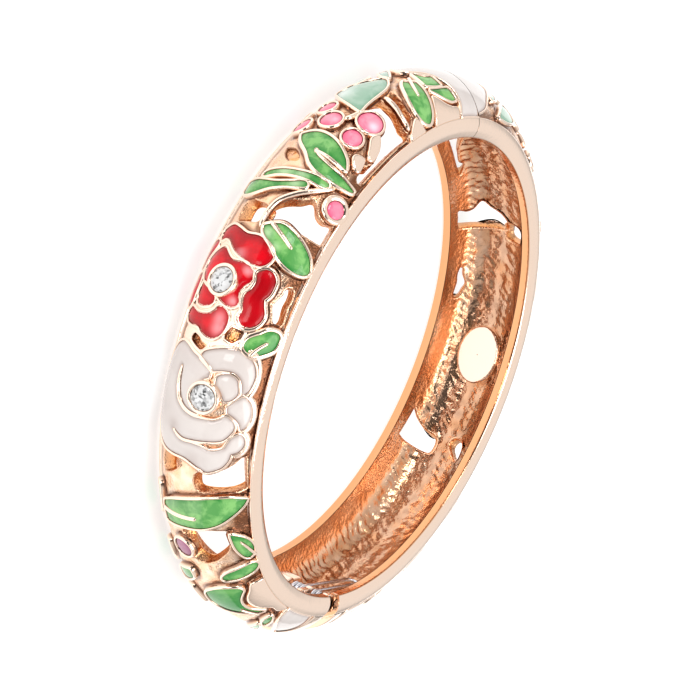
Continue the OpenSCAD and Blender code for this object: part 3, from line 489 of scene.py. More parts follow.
def piece(name, blocks, materials, body, replaces=(), turn=False):
    """One object from blocks, placed in the part's frame in metres, riding on its body."""
    if turn:
        blocks = [turned_over(b) for b in blocks]

    def by_vertex(key):
        return np.concatenate([b[key] for b in blocks])

    def by_face(values):
        return np.concatenate([np.full(len(b["faces"]), v) for b, v in zip(blocks, values)])

    starts = np.cumsum([0] + [len(b["verts"]) for b in blocks])
    corners = np.concatenate([(b["faces"] + at).ravel() for b, at in zip(blocks, starts)])
    sizes = by_face([b["faces"].shape[1] for b in blocks])
    mesh = bpy.data.meshes.new(name)
    mesh.vertices.add(starts[-1])
    mesh.vertices.foreach_set("co", (by_vertex("verts") * MM).ravel())
    mesh.loops.add(len(corners))
    mesh.loops.foreach_set("vertex_index", corners)
    mesh.polygons.add(len(sizes))
    mesh.polygons.foreach_set("loop_start", np.cumsum(sizes) - sizes)
    mesh.polygons.foreach_set("material_index", by_face([b["material"] for b in blocks]))
    mesh.polygons.foreach_set("use_smooth", by_face([b["smooth"] for b in blocks]))
    mesh.update(calc_edges=True)
    mesh.validate()
    for label, key in (("depth_mm", "depth"), ("shade", "shade")):
        attribute = mesh.attributes.new(label, "FLOAT", "POINT")
        attribute.data.foreach_set("value", by_vertex(key))
    for m in materials:
        mesh.materials.append(m)
    obj = linked(name, mesh)
    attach(obj, body)
    for node in replaces:
        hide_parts(node)
    mesh.calc_loop_triangles()
    print(name, len(mesh.loop_triangles), "triangles")


# %% Beads and ridges
STRETCH_FROM = 0.1  # mm outward from the loop: a border's inner edge


def wrapped(chart, lift, material=POLISHED, shade=0.0, closed=False):
    """A grid of chart places and their lifts as a block that looks away from the dome's middle,
    with its depth below the dome."""
    lift = np.broadcast_to(lift, chart.shape[:2])
    verts = on_dome(chart, lift).reshape(-1, 3)
    faces = facing(verts, grid_faces(*lift.shape, wrap_rows=closed), dome_centre)
    return block(verts, faces, material, np.maximum(-lift, 0).ravel(), shade=shade)


def bead(loop, profile, material=POLISHED, wide=1.0):
    """A profile carried round a loop. Its rows are (offset outward from the loop, lift, shade), and
    the offsets past a border's inner edge are stretched by wide."""
    offsets, lifts, shades = np.array(profile).T
    stretched = STRETCH_FROM + (offsets - STRETCH_FROM) * wide
    offsets = np.where(offsets > STRETCH_FROM, stretched, offsets)
    chart = loop[:, None] + sideways(loop)[:, None] * offsets[None, :, None]
    return wrapped(chart, lifts, material, np.tile(shades, len(loop)), closed=True)


def ridge(line, top, foot, half_w=None, taper=1.0):
    """A rounded ridge along an open line: part of an ellipse across, from foot up to top, with its
    width and height brought down towards nothing over the taper at both ends. Painted shade darkens
    only its two feet."""
    half = line[:, 2:3] if half_w is None else half_w
    line = line[:, :2]
    along = run(line)
    near_end = np.clip(np.minimum(along, along[-1] - along) / taper, 0.003, 1)
    size = np.sqrt(1 - (1 - near_end) ** 2)[:, None]
    a = np.linspace(-np.pi / 2, np.pi / 2, 11)
    offset = np.sin(a) * half * size
    lift = foot + (top - foot) * np.cos(a) ** 0.7 * (0.35 + 0.65 * size)
    chart = line[:, None] + sideways(line, closed=False)[:, None] * offset[..., None]
    shade = np.clip((np.abs(np.sin(a)) - 0.86) / 0.12, 0, 1)
    return wrapped(chart, lift, shade=np.tile(shade, len(line)))


# %% Caps that swell like a drop
SIDES = [(1, 0), (-1, 0), (1, 1), (-1, 1)]
ROUNDS = 400  # of relaxing the skin
SOFT = 0.2  # mm by which the foot of the drop is eased
FADE = 0.4  # mm from the edge over which bumps come in


def beside(grid):
    """Sum of the four neighbours of each grid point."""
    return sum(np.roll(grid, d, ax) for d, ax in SIDES)


def swelling(inside, depth, step):
    """Height of a skin blown up over a shape: the relaxed solution in which each point is the mean
    of its four neighbours plus a constant, and is 0 on the outline. Points just outside get the
    negative value that puts the 0 exactly on the outline."""
    u = np.where(inside, depth, 0.0)
    safe = np.maximum(depth, 0.3 * step)
    count = np.maximum(beside(inside.astype(float)), 1)
    for _ in range(ROUNDS):
        ghost = depth * beside(np.where(inside, u / safe, 0)) / count
        mean = beside(np.where(inside, u, ghost)) / 4
        u = np.where(inside, np.maximum(mean + step * step / 4, 0), 0)
    return np.where(inside, u, depth * beside(np.where(inside, u / safe, 0)) / count)


def cap(loop, lift, swell, step=0.14, inset=0.0, material=POLISHED, clear=(), bumps=None, holes=()):
    """The surface inside a loop: lift at its edge, rising towards the middle like a drop. The rise
    is swell times the root of twice the swelling, which over a strip gives part of an ellipse. It
    stops short of each circle in clear and of each loop in holes."""
    low, high = loop.min(0) - 2 * step, loop.max(0) + 2 * step
    nx, ny = [int(np.ceil(v / step)) + 1 for v in high - low]
    x, y = low[0] + np.arange(nx) * step, low[1] + np.arange(ny) * step
    chart = np.stack(np.meshgrid(x, y, indexing="ij"), -1).reshape(-1, 2)
    depth = depth_in(chart, loop).reshape(nx, ny) - inset
    skin = swelling(depth > 0, depth, step)
    columns = np.column_stack([chart, depth.ravel(), skin.ravel()])
    columns, faces = cut(columns, grid_faces(nx, ny), depth.ravel())
    for s, w, r in clear:
        away = np.hypot(columns[:, 0] - s * PER_DEG, columns[:, 1] - w) - r
        if away.min() < 0:
            columns, faces = cut(columns, faces, away)
    for hole in holes:
        columns, faces = cut(columns, faces, -depth_in(columns[:, :2], hole))
    rise = swell * (np.sqrt(2 * np.maximum(columns[:, 3], 0) + SOFT ** 2) - SOFT)
    if bumps is not None:
        rise = rise + bumps(columns[:, 0], columns[:, 1]) * np.clip(columns[:, 2] / FADE, 0, 1)
    verts = on_dome(columns[:, :2], lift + rise)
    return block(verts, facing(verts, faces, dome_centre), material, columns[:, 2])


# %% Seats: flat places that face along the dome's normal
def seat(s, w):
    """Centre of the dome's circle at s, and the directions at w: across the band, along it and
    outward."""
    turn = w / CROWN_R
    out = np.array([np.cos(s * DEG), -np.sin(s * DEG), 0])
    up = np.array([0, 0, 1.0])
    along = np.array([np.sin(s * DEG), np.cos(s * DEG), 0])
    return (CROWN_C * out + HALF_W * up, np.sin(turn) * out - np.cos(turn) * up, along,
            np.cos(turn) * out + np.sin(turn) * up)


def in_seat(points, place):
    """Points as (across, along, height) of a seat."""
    return (points - place[0]) @ np.stack(place[1:], -1)


def from_seat(local, place):
    """Points of a seat's (across, along, height), in the part's frame."""
    return place[0] + local @ np.stack(place[1:])


def lathe(profile, place, count, closed=False, depth=0.0):
    """A profile of (radius, height) turned about a seat's outward line. A closed profile looks away
    from its own middle, and an open one from the line."""
    a = np.linspace(0, 2 * np.pi, count, endpoint=False)[:, None]
    profile = np.array(profile)
    r, h = profile[:, 0], profile[:, 1]
    local = np.stack([r * np.cos(a), r * np.sin(a), np.broadcast_to(h, (count, len(r)))], -1)
    verts = from_seat(local.reshape(-1, 3), place)
    middle = profile.mean(0) if closed else np.zeros(2)

    def centre(p):
        q = in_seat(p, place)
        height = np.full(q.shape[:-1] + (1,), middle[1]) if closed else q[..., 2:]
        return from_seat(np.concatenate([unit(q[..., :2]) * middle[0], height], -1), place)

    faces = grid_faces(count, len(r), wrap_rows=True, wrap_cols=closed)
    return block(verts, facing(verts, faces, centre), depth=depth)


# %% How close the raised forms are
BORDER_W, PAD_W, STEM_W = 0.5, 0.1, 0.38  # mm from a form's charted line to its foot
CLEAR_FAR = 2.0  # mm past which a place counts as open field
CELL_TABLES = (END_PANELS, ROSE, RED, GREEN, MINT)
cell_loops = {name: smooth_loop(rows) for table in CELL_TABLES for name, rows in table.items()}
berry_loops = [round_loop(*b) for b in PINK_BERRIES + LILAC_BERRIES]
pad_loops, pit_loops = [[smooth_loop(rows) for rows in table] for table in (PADS, PITS)]
raised = [(loop, BORDER_W) for loop in list(cell_loops.values()) + berry_loops]
raised += [(loop, PAD_W) for loop in pad_loops + [round_loop(*RINGED_BERRY)]]
print("raised forms", len(raised))


def clearance(chart):
    """Distance on the chart from each place to the nearest raised form or lip, up to 2 mm."""
    near = np.minimum(LIP_W - 0.05 - np.abs(chart[:, 1]), CLEAR_FAR)
    for loop, margin in raised:
        around = (chart > loop.min(0) - CLEAR_FAR) & (chart < loop.max(0) + CLEAR_FAR)
        close = around.all(1)
        near[close] = np.minimum(near[close], -depth_in(chart[close], loop) - margin)
    for rows in STEMS + [ROSE_EDGE]:
        to_line = np.linalg.norm(chart[:, None] - smooth_line(rows), axis=-1).min(1)
        near = np.minimum(near, to_line - STEM_W)
    return near


# %% [markdown]
# ## The casting
# The real wall is cast in one piece with its gaps. It could be a ring with a boolean for each gap.
# Here it is one section carried round half a turn: domed field, rim lips, flat rims, and the
# hollow inside, whose skin is hammered into rows of ribs. The gaps are cut out of it, and get walls
# that flare as cast ones do. Both ends are flat faces. At the hinge the face leans back, so that
# the half can swing out.

# %% The wall's section
KNUCKLE_R, KNUCKLE_ROOM = 1.35, 1.6
ROWS, FIELD_ROWS = 400, 540  # steps round half a turn
FIELD_EDGE = 62.3  # degrees from the crest at which the field meets the rim's lip
LIP = [  # (radius about the dome's centre, degrees from the crest)
    (BASE_R - 0.02, -FIELD_EDGE), (BASE_R + 0.04, -62.75), (CROWN_R - 0.18, -62.9),
    (CROWN_R - 0.05, -63.2), (CROWN_R, -63.9), (CROWN_R, -65), (CROWN_R, -66.2), (CROWN_R, -67.3)]
RIM_CORNER = [(30.84, 0.0), (30.35, 0.0)]  # the curve's bend, and where the flat rim begins
RAIL = [(30.1, 0.0), (29.93, 0.01), (29.75, 0.06), (29.5, 0.15), (29.25, 0.25), (29.1, 0.32),
        (29.02, 0.42), (29.0, 0.6), (29.0, 0.9), (29.0, 1.2), (29.02, 1.42)]
RAIL_R, BORE_EDGE_R = 29.06, 29.03
GAP_REACH, GAP_HALF = (0, HINGE_X, 35.5, 40), (1.15, 1.15, 2.0, 2.0)
SCOOP_EDGE = 0.8  # mm at the rims that the scoop leaves
COLUMN_W, RIB_W = 2.6, 1.1


def arc(radius, turn):
    """Points of a circle about the dome's centre in the section, as (distance from the axis,
    height)."""
    turn = np.array(turn) * DEG
    return np.stack([CROWN_C + radius * np.cos(turn), HALF_W + radius * np.sin(turn)], -1)


def lower_edge():
    """The section from the field's edge over the lip, round the rim's corner, which is a curve
    drawn by three points, and up the smooth inner rail."""
    lip = arc(*np.array(LIP).T)
    t = np.linspace(0, 1, 6)[1:, None]
    bend, flat = np.array(RIM_CORNER)
    corner = lip[-1] * (1 - t) ** 2 + bend * 2 * t * (1 - t) + flat * t ** 2
    return np.concatenate([lip, corner, np.array(RAIL)])


def end_gap(r, z):
    """Half the gap between the halves at the hinge: wider towards the crest so that the half can
    swing out, and scooped round the knuckles."""
    gap = np.interp(r, GAP_REACH, GAP_HALF)
    scoop = np.sqrt(np.maximum(KNUCKLE_ROOM ** 2 - (r - HINGE_X) ** 2, 0))
    return np.where((z > SCOOP_EDGE) & (z < BAND_W - SCOOP_EDGE), np.maximum(gap, scoop), gap)


def swept(section, rough=None, count=ROWS):
    """The section carried round from end face to end face. rough is a function of the chart that
    moves the surface along the section's normal."""
    r, z = section[:, 0], section[:, 1]
    start = np.arcsin(end_gap(r, z) / r)
    stop = np.pi - np.arcsin(SEAM_GAP / r)
    s = start + (stop - start) * np.linspace(0, 1, count)[:, None]
    if rough is not None:
        way = unit(np.gradient(section, axis=0))
        along = run(section)
        move = rough(s / DEG * PER_DEG, np.broadcast_to(along - along[-1] / 2, s.shape))
        r, z = r + move * way[:, 1], z - move * way[:, 0]
    return np.stack([r * np.cos(s), -r * np.sin(s), np.broadcast_to(z, s.shape)], -1)


edge = lower_edge()
upper = edge[::-1] * [1, -1] + [0, BAND_W]
field_section = arc(BASE_R - 0.02, np.linspace(-FIELD_EDGE, FIELD_EDGE, 78))
bore_end = np.arccos((BORE_EDGE_R - CROWN_C) / BORE_R) / DEG
bore_section = arc(BORE_R, np.linspace(-bore_end, bore_end, 56))
print("points on the section", len(edge) + len(upper) + len(field_section) + len(bore_section))


def field_rough(x, y):
    """The field's cast skin: lumps of 1.1 and 0.5 mm."""
    return 0.05 * lumps(x, y, 1.1, 3) + 0.03 * lumps(x, y, 0.5, 4)


def bore_rough(x, y):
    """The inside's hammered skin: rounded columns 2.6 mm wide that waver along the band, each with
    ribs about 1.1 mm apart, like a rope, and small pebbles. It fades out on the smooth rails."""
    column = (y + 0.35 * lumps(x, np.zeros_like(y), 5.0, 7)) / COLUMN_W
    rounded = 0.11 * np.abs(np.cos(np.pi * column))
    turn = x / RIB_W + 0.3 * np.sin(2 * np.pi * column) + 0.7 * lumps(x, y, 1.7, 9)
    ribs = (0.03 + 0.02 * lumps(x, y, 3.0, 17)) * np.cos(2 * np.pi * turn)
    pebbles = 0.06 * lumps(x, y, 0.6, 8)
    return (rounded + ribs + pebbles) * np.clip((5.6 - np.abs(y)) / 0.9, 0, 1)


# %% Gaps: straight prisms through the wall, seen along the dome's normal at their middle
REACH = np.linspace(0.1, 1.35, 11)  # mm outward at which the room for a flare is tried
# (outward, drop) of the rows at the field, and at the hollow
FLARE_ROWS = [(0.2, -0.02), (0.1, -0.005), (0.04, 0.03), (0.0, 0.12)]
INNER_ROWS = [(0.0, -0.15), (0.05, -0.04), (0.14, 0.01), (0.26, 0.04)]
WALL_SHARES = (0.15, 0.3, 0.45, 0.6, 0.75, 0.9)
# depth and painted shade of a gap wall's rows, from the field down to the hollow
WALL_DEPTH = np.concatenate([[0.5, 0.55, 0.6, 0.7], np.linspace(0.8, 1.1, 6), [1.0, 0.9, 0.7, 0.6]])
WALL_SHADE = np.concatenate([[0.1, 0.1, 0.2, 0.35], np.linspace(0.45, 0.2, 6), [0.15, 0.1, 0, 0]])


def height_at(flat, place, radius):
    """Height over a seat, from 1 to 9 mm, at which the line through a flat point leaves the torus
    of that radius, found by halving the span 40 times."""
    low, high = np.full(len(flat), 1.0), np.full(len(flat), 9.0)
    for _ in range(40):
        mid = (low + high) / 2
        p = from_seat(np.column_stack([flat, mid]), place)
        inside = np.hypot(np.hypot(p[:, 0], p[:, 1]) - CROWN_C, p[:, 2] - HALF_W) < radius
        low, high = np.where(inside, mid, low), np.where(inside, high, mid)
    return low


def gap_shape(rows):
    """A gap's seat, its outline on the seat's plane, and how far the wall flares out there at the
    field. It flares towards the lower rim, by up to 1.1 mm at the crest and less above it, as far
    as the nearest raised form. Six rounds of averaging smooth the flare along the outline."""
    loop = smooth_loop(rows)
    middle = loop.mean(0)
    place = seat(middle[0] / PER_DEG, middle[1])
    out = sideways(loop)
    limit = 0.07 + np.maximum(-out[:, 1], 0) * (1.1 - 0.7 * smooth_step(loop[:, 1], 2, 4))
    probes = loop[:, None] + out[:, None] * REACH[:, None]
    clear = clearance(probes.reshape(-1, 2)).reshape(len(loop), -1) > 0.02
    room = np.where(clear.all(1), REACH[-1], REACH[np.argmin(clear, 1)] - 0.1)
    flare = np.minimum(limit, room)
    for _ in range(6):
        flare = np.minimum(flare, (np.roll(flare, 1) + 2 * flare + np.roll(flare, -1)) / 4 + 0.02)
    flat = in_seat(on_dome(loop, 0), place)[:, :2]
    if turning(flat) < 0:
        flat, flare = flat[::-1], flare[::-1]
    return place, flat, flare


def gap_wall(shape):
    """The gap's wall with its cast waves, flared at the field and rounded at both its edges."""
    place, flat, flare = shape
    out = sideways(flat)

    def row(offset, radius, drop):
        p = flat + out * np.reshape(offset, (-1, 1))
        return np.column_stack([p, height_at(p, place, radius) - drop])

    top = [row(flare + offset, BASE_R, drop) for offset, drop in FLARE_ROWS]
    low = [row(offset, BORE_R, drop) for offset, drop in INNER_ROWS]
    along = np.arange(len(flat)) * STEP
    middle = []
    for share in WALL_SHARES:
        wave = 0.06 * lumps(along, np.full(len(flat), share * 3), 0.5, 5)
        spread = flare * (1 - share) ** 1.2 + wave
        height = top[-1][:, 2] * (1 - share) + low[0][:, 2] * share
        middle.append(np.column_stack([flat + out * spread[:, None], height]))
    rows = np.stack(top + middle + low, 1)
    verts = from_seat(rows.reshape(-1, 3), place)
    centre = verts.mean(0)

    def on_axis(a):
        return centre + place[3] * ((a - centre) @ place[3])[:, None]

    faces = grid_faces(len(flat), rows.shape[1], wrap_rows=True)
    faces = facing(verts, faces, on_axis, inward=True)
    depth, shade = [np.tile(v, len(flat)) for v in (WALL_DEPTH, WALL_SHADE)]
    return block(verts, faces, CAST, depth, shade=shade)


def pierced(verts, faces, shapes, margin, flared):
    """The surface without the parts inside the gaps, cut at the margin outside each gap's outline,
    and outside its flare as well if flared."""
    for place, flat, flare in shapes:
        edge_line = flat + sideways(flat) * (flare * flared + margin)[:, None]
        local = in_seat(verts, place)
        value = np.full(len(verts), 1.0)
        near = np.abs(local[:, :2]).max(1) < np.abs(edge_line).max() + 2
        close = (local[:, 2] > 2) & near
        value[close] = -depth_in(local[close][:, :2], edge_line)
        verts, faces = cut(verts, faces, value)
    return verts, faces


def chart_of(verts):
    """The chart's place of each point: (0.6 mm per degree, mm from the crest line)."""
    s = np.arctan2(-verts[:, 1], verts[:, 0]) / DEG * PER_DEG
    across = np.hypot(verts[:, 0], verts[:, 1]) - CROWN_C
    return np.stack([s, np.arctan2(verts[:, 2] - HALF_W, across) * CROWN_R], -1)


# %% The two end faces, and the plain block at the hinge
BLOCK_END = 6.4  # degrees from the hinge
BLOCK_ROWS = [  # (share of the way, degrees past it, lift)
    (0, 0, -0.1), (0.01, 0, 0), (0.3, 0, 0.02), (0.6, 0, 0.02), (0.9, 0, 0.01), (1, -0.25, 0),
    (1, -0.1, -0.05), (1, 0, -0.15), (1, 0.05, -0.45), (1, 0.12, -0.7)]


def end_face(at_seam):
    """A flat end of the wall: a grid over the section cut off at the section's outline, with its
    distance from the middle plane worked out at each point."""
    face_arc = arc(CROWN_R - 0.03, np.linspace(-63, 63, 60))
    ring = np.concatenate([edge[4:][::-1], face_arc, upper[:-4][::-1], bore_section[::-1]])
    low, high = ring.min(0) - STEP, ring.max(0) + STEP
    r, z = [low[k] + np.arange(int((high[k] - low[k]) / STEP) + 2) * STEP for k in (0, 1)]
    grid = np.stack(np.meshgrid(r, z, indexing="ij"), -1).reshape(-1, 2)
    points, faces = cut(grid, grid_faces(len(r), len(z)), depth_in(grid, ring))
    y = np.full(len(points), SEAM_GAP) if at_seam else end_gap(points[:, 0], points[:, 1])
    x = np.sqrt(points[:, 0] ** 2 - y ** 2) * (-1 if at_seam else 1)
    verts = np.column_stack([x, -y, points[:, 1]])
    return block(verts, facing(verts, faces, lambda a: a - [0, 5, 0]), depth=0.3)


def end_block():
    """The plain gold block between the hinge's end face and 6.5 degrees, up to the dome, with a
    rounded edge."""
    turn = np.linspace(-62.9, 62.9, 50) * CROWN_R * DEG
    reach = CROWN_C + CROWN_R * np.cos(turn / CROWN_R)
    start = np.arcsin(end_gap(reach, -1.0) / reach) / DEG
    share, past, lift = [column[:, None] for column in np.array(BLOCK_ROWS).T]
    s = start + (BLOCK_END - start) * share + past
    return wrapped(np.stack([s * PER_DEG, np.broadcast_to(turn, s.shape)], -1), lift)


# %% The wall of one half
PIT_WALL = [(0.14, -0.56, 0), (0.05, -0.58, 0), (0.0, -0.66, 0.1), (-0.03, -0.78, 0.2),
            (-0.08, -0.86, 0.2), (-0.16, -0.9, 0)]
PIT_FLOOR = -0.9
# painted shade on each pit's walls, and a sixth of it on its floor
PIT_SHADE = (0, 0, 0.6)  # the third pit is seen at a flat angle and looks darker
RIM_MIDDLE = (30.3, 1.2)  # a place inside the metal: (distance from the axis, height)


def field_block(shapes):
    """The domed field, cast and lumpy, cut out at the gaps and pits. Its painted shade is the
    largest of three: 0.8 close to raised forms, none past 0.7 mm; 0.95 at the upper lip, none below
    5 mm; and 0.75 at the lower lip, none above 5.9 mm. Its depth varies in lumps of 0.8 mm."""
    verts = swept(field_section, field_rough, FIELD_ROWS).reshape(-1, 3)
    faces = grid_faces(FIELD_ROWS, len(field_section))
    verts, faces = pierced(verts, faces, shapes, 0.1, 1)
    for loop in pit_loops:
        value = np.ones(len(verts))
        chart = chart_of(verts)
        close = np.abs(chart - loop.mean(0)).max(1) < 3
        value[close] = -depth_in(chart[close], loop) - 0.06
        verts, faces = cut(verts, faces, value)
    chart = chart_of(verts)
    x, w = chart.T
    shade = 0.8 * (1 - smooth_step(clearance(chart), 0.1, 0.7))
    shade = np.maximum(shade, 0.95 * smooth_step(w, 5.0, 6.3))
    shade = np.maximum(shade, 0.75 * smooth_step(-w, 5.9, 7.2))
    depth = 0.42 + 0.34 * lumps(x, w, 0.8, 12)
    return block(verts, facing(verts, faces, dome_centre), CAST, depth, shade=shade)


def bore_block(shapes):
    """The hollow inside, hammered. Its depth varies in lumps of 1.6 mm and its painted shade, which
    darkens it all over, in lumps of 0.8 mm, and the shade fades out on the rails."""
    verts = swept(bore_section, bore_rough).reshape(-1, 3)
    verts, faces = pierced(verts, grid_faces(ROWS, len(bore_section)), shapes, 0.12, 0)
    x, w = chart_of(verts).T
    depth = 0.66 + 0.2 * lumps(x, w, 1.6, 13)
    shade = 0.42 + 0.14 * lumps(x, w, 0.8, 16)
    shade = shade * (1 - smooth_step(np.abs(w), 5.4, 6.4))
    faces = facing(verts, faces, dome_centre, inward=True)
    return block(verts, faces, HAMMERED, depth, shade=shade)


def rim_block(section, height):
    """One rim with its lip and rail. The lip's foot and the rail have some painted shade."""
    verts = swept(section).reshape(-1, 3)
    faces = facing(verts, grid_faces(ROWS, len(section)), circle_at(RIM_MIDDLE[0], height))
    r, z = section.T
    rail = r < RAIL_R
    foot = (np.hypot(r - CROWN_C, z - HALF_W) < BASE_R + 0.1) & (r > 31)
    depth = np.where(rail, 0.9, 0.0)
    shade = np.where(foot, 0.65, np.where(rail, 0.2, 0.0))
    return block(verts, faces, POLISHED, np.tile(depth, ROWS), shade=np.tile(shade, ROWS))


def pit_blocks():
    """The walls and lumpy floors of the blind pits."""
    out = []
    for loop, dark in zip(pit_loops, PIT_SHADE):
        wall = bead(loop, PIT_WALL, CAST)
        floor = cap(loop, PIT_FLOOR, swell=0.12, inset=0.12, material=CAST, bumps=field_rough)
        x, _, z = floor["verts"].T
        depth = 0.95 + 0.25 * lumps(x, z, 0.35, 14)
        out.append(changed(wall, shade=wall["shade"] + dark))
        out.append(changed(floor, depth=depth, shade=dark / 6))
    return out


def wall_blocks(gaps):
    """The wall of one half: field, hollow, rims, end faces and the walls of its gaps and pits."""
    shapes = [gap_shape(rows) for rows in gaps]
    return ([field_block(shapes), bore_block(shapes), rim_block(edge, RIM_MIDDLE[1]),
             rim_block(upper, BAND_W - RIM_MIDDLE[1]), end_face(False), end_face(True), end_block()]
            + [gap_wall(shape) for shape in shapes] + pit_blocks())


front_wall = wall_blocks(GAPS + [FRONT_GAP])
back_wall = wall_blocks(GAPS)
print("wall faces", sum(len(b["faces"]) for b in front_wall))

# %% [markdown]
# ## The relief
# Every enamel cell has a rounded gold border, cast with the wall. Where two cells meet, their
# borders share one ridge. Plain gold leaves, stems and veins are rounded pads and ridges. Curves
# with a round bevel could stand for the borders, but a profile of rows gives a low soft top, and
# it lets each row say how much painted shade browns the metal at the foot.

# %% Profiles: rows of (mm outward from the loop, lift, painted shade)
BORDER = [(0.0, -0.28, 1), (0.03, -0.2, 1), (0.05, -0.1, 0.9), (0.07, -0.01, 0.3),
          (0.11, 0.05, 0), (0.19, 0.08, 0), (0.28, 0.06, 0), (0.36, -0.01, 0),
          (0.41, -0.13, 0.1), (0.45, -0.32, 0.5), (0.49, -0.47, 0.9), (0.55, -0.53, 1),
          (0.62, -0.57, 0.9)]
PIT_EDGE = [(0.02, -0.6, 1), (0.04, -0.3, 0.7), (0.08, -0.1, 0), (0.2, -0.03, 0), (0.32, -0.06, 0),
            (0.4, -0.16, 0), (0.46, -0.4, 0.6), (0.52, -0.57, 0.9)]
PAD_EDGE = [(0.16, -0.57, 0.9), (0.08, -0.53, 0.9), (0.03, -0.45, 0.5), (0, -0.25, 0.1),
            (-0.04, -0.1, 0), (-0.1, -0.02, 0), (-0.2, 0.02, 0), (-0.3, 0.04, 0)]
BERRY_RING = [(0.12, -0.57, 0.9), (0.05, -0.5, 0.7), (0.02, -0.3, 0.2), (-0.03, -0.1, 0),
              (-0.1, 0.02, 0), (-0.22, 0.1, 0), (-0.4, 0.12, 0), (-0.6, 0.06, 0),
              (-0.75, -0.1, 0.8)]

# %% Borders, pads, stems and the cups of the stones
WIDE_BORDERS = {"leaf_e": 1.7, "leaf_d": 1.3, "leaf_k": 1.3, "leaf_c": 1.35, "red_2": 1.45}
HOLLOWS = [(83.2, 1.6, 2.9), (74.5, 2.9, 1.3)]  # the rose's heart and fold: (degrees, mm, radius)
STONE_R, CUP_H, CUP_R = 1.5, 0.55, 1.92
STONES = [(*RED_FLOWER_STONE, CUP_R), (*ROSE_STONE, CUP_R)]
CUP_PROFILE = [  # (radius, lift)
    (2.0, -0.75), (1.98, 0.05), (1.97, 0.33), (1.94, 0.45), (1.87, 0.53), (1.76, 0.57),
    (1.63, 0.55), (1.54, 0.48), (1.5, 0.38), (1.49, 0.1), (1.2, -0.02)]
CUP_COUNT = 56
STEM_FOOT = -0.6
FLOWER_BEDS = [
    [(112.8, 0.8), (110.5, 2.2), (106.5, 3.6), (102, 3.7), (99.2, 3.2), (98.5, 0.6), (95, 0),
     (95.6, -3.5), (99, -4.6), (104, -5.8), (109, -6), (112.5, -4)],
    [(99.4, 1.2), (99, 3.4), (97.8, 4.6), (95.8, 4), (94, 3.6), (93, 3.2), (92.6, 0.6), (91, -0.4),
     (90.6, -2.6), (91.4, -4.2), (93.6, -4.6), (94.8, -3), (94.2, -1.4), (94.2, 0.6), (96, 1.4)],
]
print("border", BORDER[-1][0] - BORDER[0][0], "mm wide")


def relief_blocks():
    """All raised gold of one half, rounded."""
    out = [trimmed(bead(loop, BORDER, wide=WIDE_BORDERS.get(name, 1.0)))
           for name, loop in cell_loops.items()]
    out += [bead(loop, BORDER) for loop in berry_loops]
    ringed = pit_loops[:2]
    out += [bead(loop, PIT_EDGE) for loop in ringed]
    for rows in FLOWER_BEDS:
        out.append(changed(cap(smooth_loop(rows), -0.1, 0.0, step=0.3, holes=ringed), depth=0.1))
    for loop in pad_loops:
        top = cap(loop, lift=0.035, swell=0.08, inset=0.28)
        out += [bead(loop, PAD_EDGE), changed(top, depth=0.0)]
    out += [ridge(smooth_line(rows), 0.06, STEM_FOOT, half_w=STEM_W) for rows in STEMS]
    out.append(ridge(smooth_line(ROSE_EDGE) - [0, 0.12], 0.05, STEM_FOOT, half_w=0.5))
    for spot in HOLLOWS:
        bed = cap(round_loop(*spot), -0.26, 0.0, step=0.2, material=CAST, bumps=field_rough)
        x, _, z = bed["verts"].T
        out.append(changed(bed, depth=0.45 + 0.3 * lumps(x, z, 0.5, 15)))
    out += [ridge(smooth_line(rows), 0.24, -0.15, taper=0.3) for rows in VEINS]
    out.append(bead(round_loop(*RINGED_BERRY), BERRY_RING))
    profile = [(radius, CROWN_R + lift) for radius, lift in CUP_PROFILE]
    depth = np.tile([max(0, -lift) for _, lift in CUP_PROFILE], CUP_COUNT)
    out += [lathe(profile, seat(s, w), CUP_COUNT, depth=depth) for s, w, _ in STONES]
    return out


relief = relief_blocks()
print("relief faces", sum(len(b["faces"]) for b in relief))

# %% [markdown]
# ## The hinge and the inside plate
# Barrel knuckles of both halves stand in turn on one steel pin, each on a short web from the wall.
# A wire spring winds round the pin and holds the bangle closed. A plain oval plate sits inside the
# back half. A curve object could make the wire. A tube worked out along the same path closes its
# ends and is a mesh from the start, like the other pieces.

# %% Knuckles and their webs
FRONT_KNUCKLES = [(2.7, 4.3), (9.3, 10.1)]
BACK_KNUCKLES = [(0.95, 2.55), (4.45, 6.95), (11.7, 12.55)]
PIN_LINE = (np.array([HINGE_X, 0, 0]), *np.eye(3))
PIN_BORE, EASED, KNUCKLE_COUNT = 0.55, 0.12, 48
WEB = np.array([(-1.2, 0.6), (-1.25, 2.6), (1.6, 5), (3.6, 5), (3.6, 1.9), (1.1, 0.5)])


def knuckle(z0, z1):
    """A barrel with a bore for the pin, its edges rounded."""
    e, small = EASED, EASED * 0.3
    profile = [(PIN_BORE + 0.06, z0), (KNUCKLE_R - e, z0), (KNUCKLE_R - small, z0 + small),
               (KNUCKLE_R, z0 + e), (KNUCKLE_R, z1 - e), (KNUCKLE_R - small, z1 - small),
               (KNUCKLE_R - e, z1), (PIN_BORE + 0.06, z1), (PIN_BORE, z1 - 0.06),
               (PIN_BORE, z0 + 0.06)]
    return lathe(profile, PIN_LINE, KNUCKLE_COUNT, closed=True)


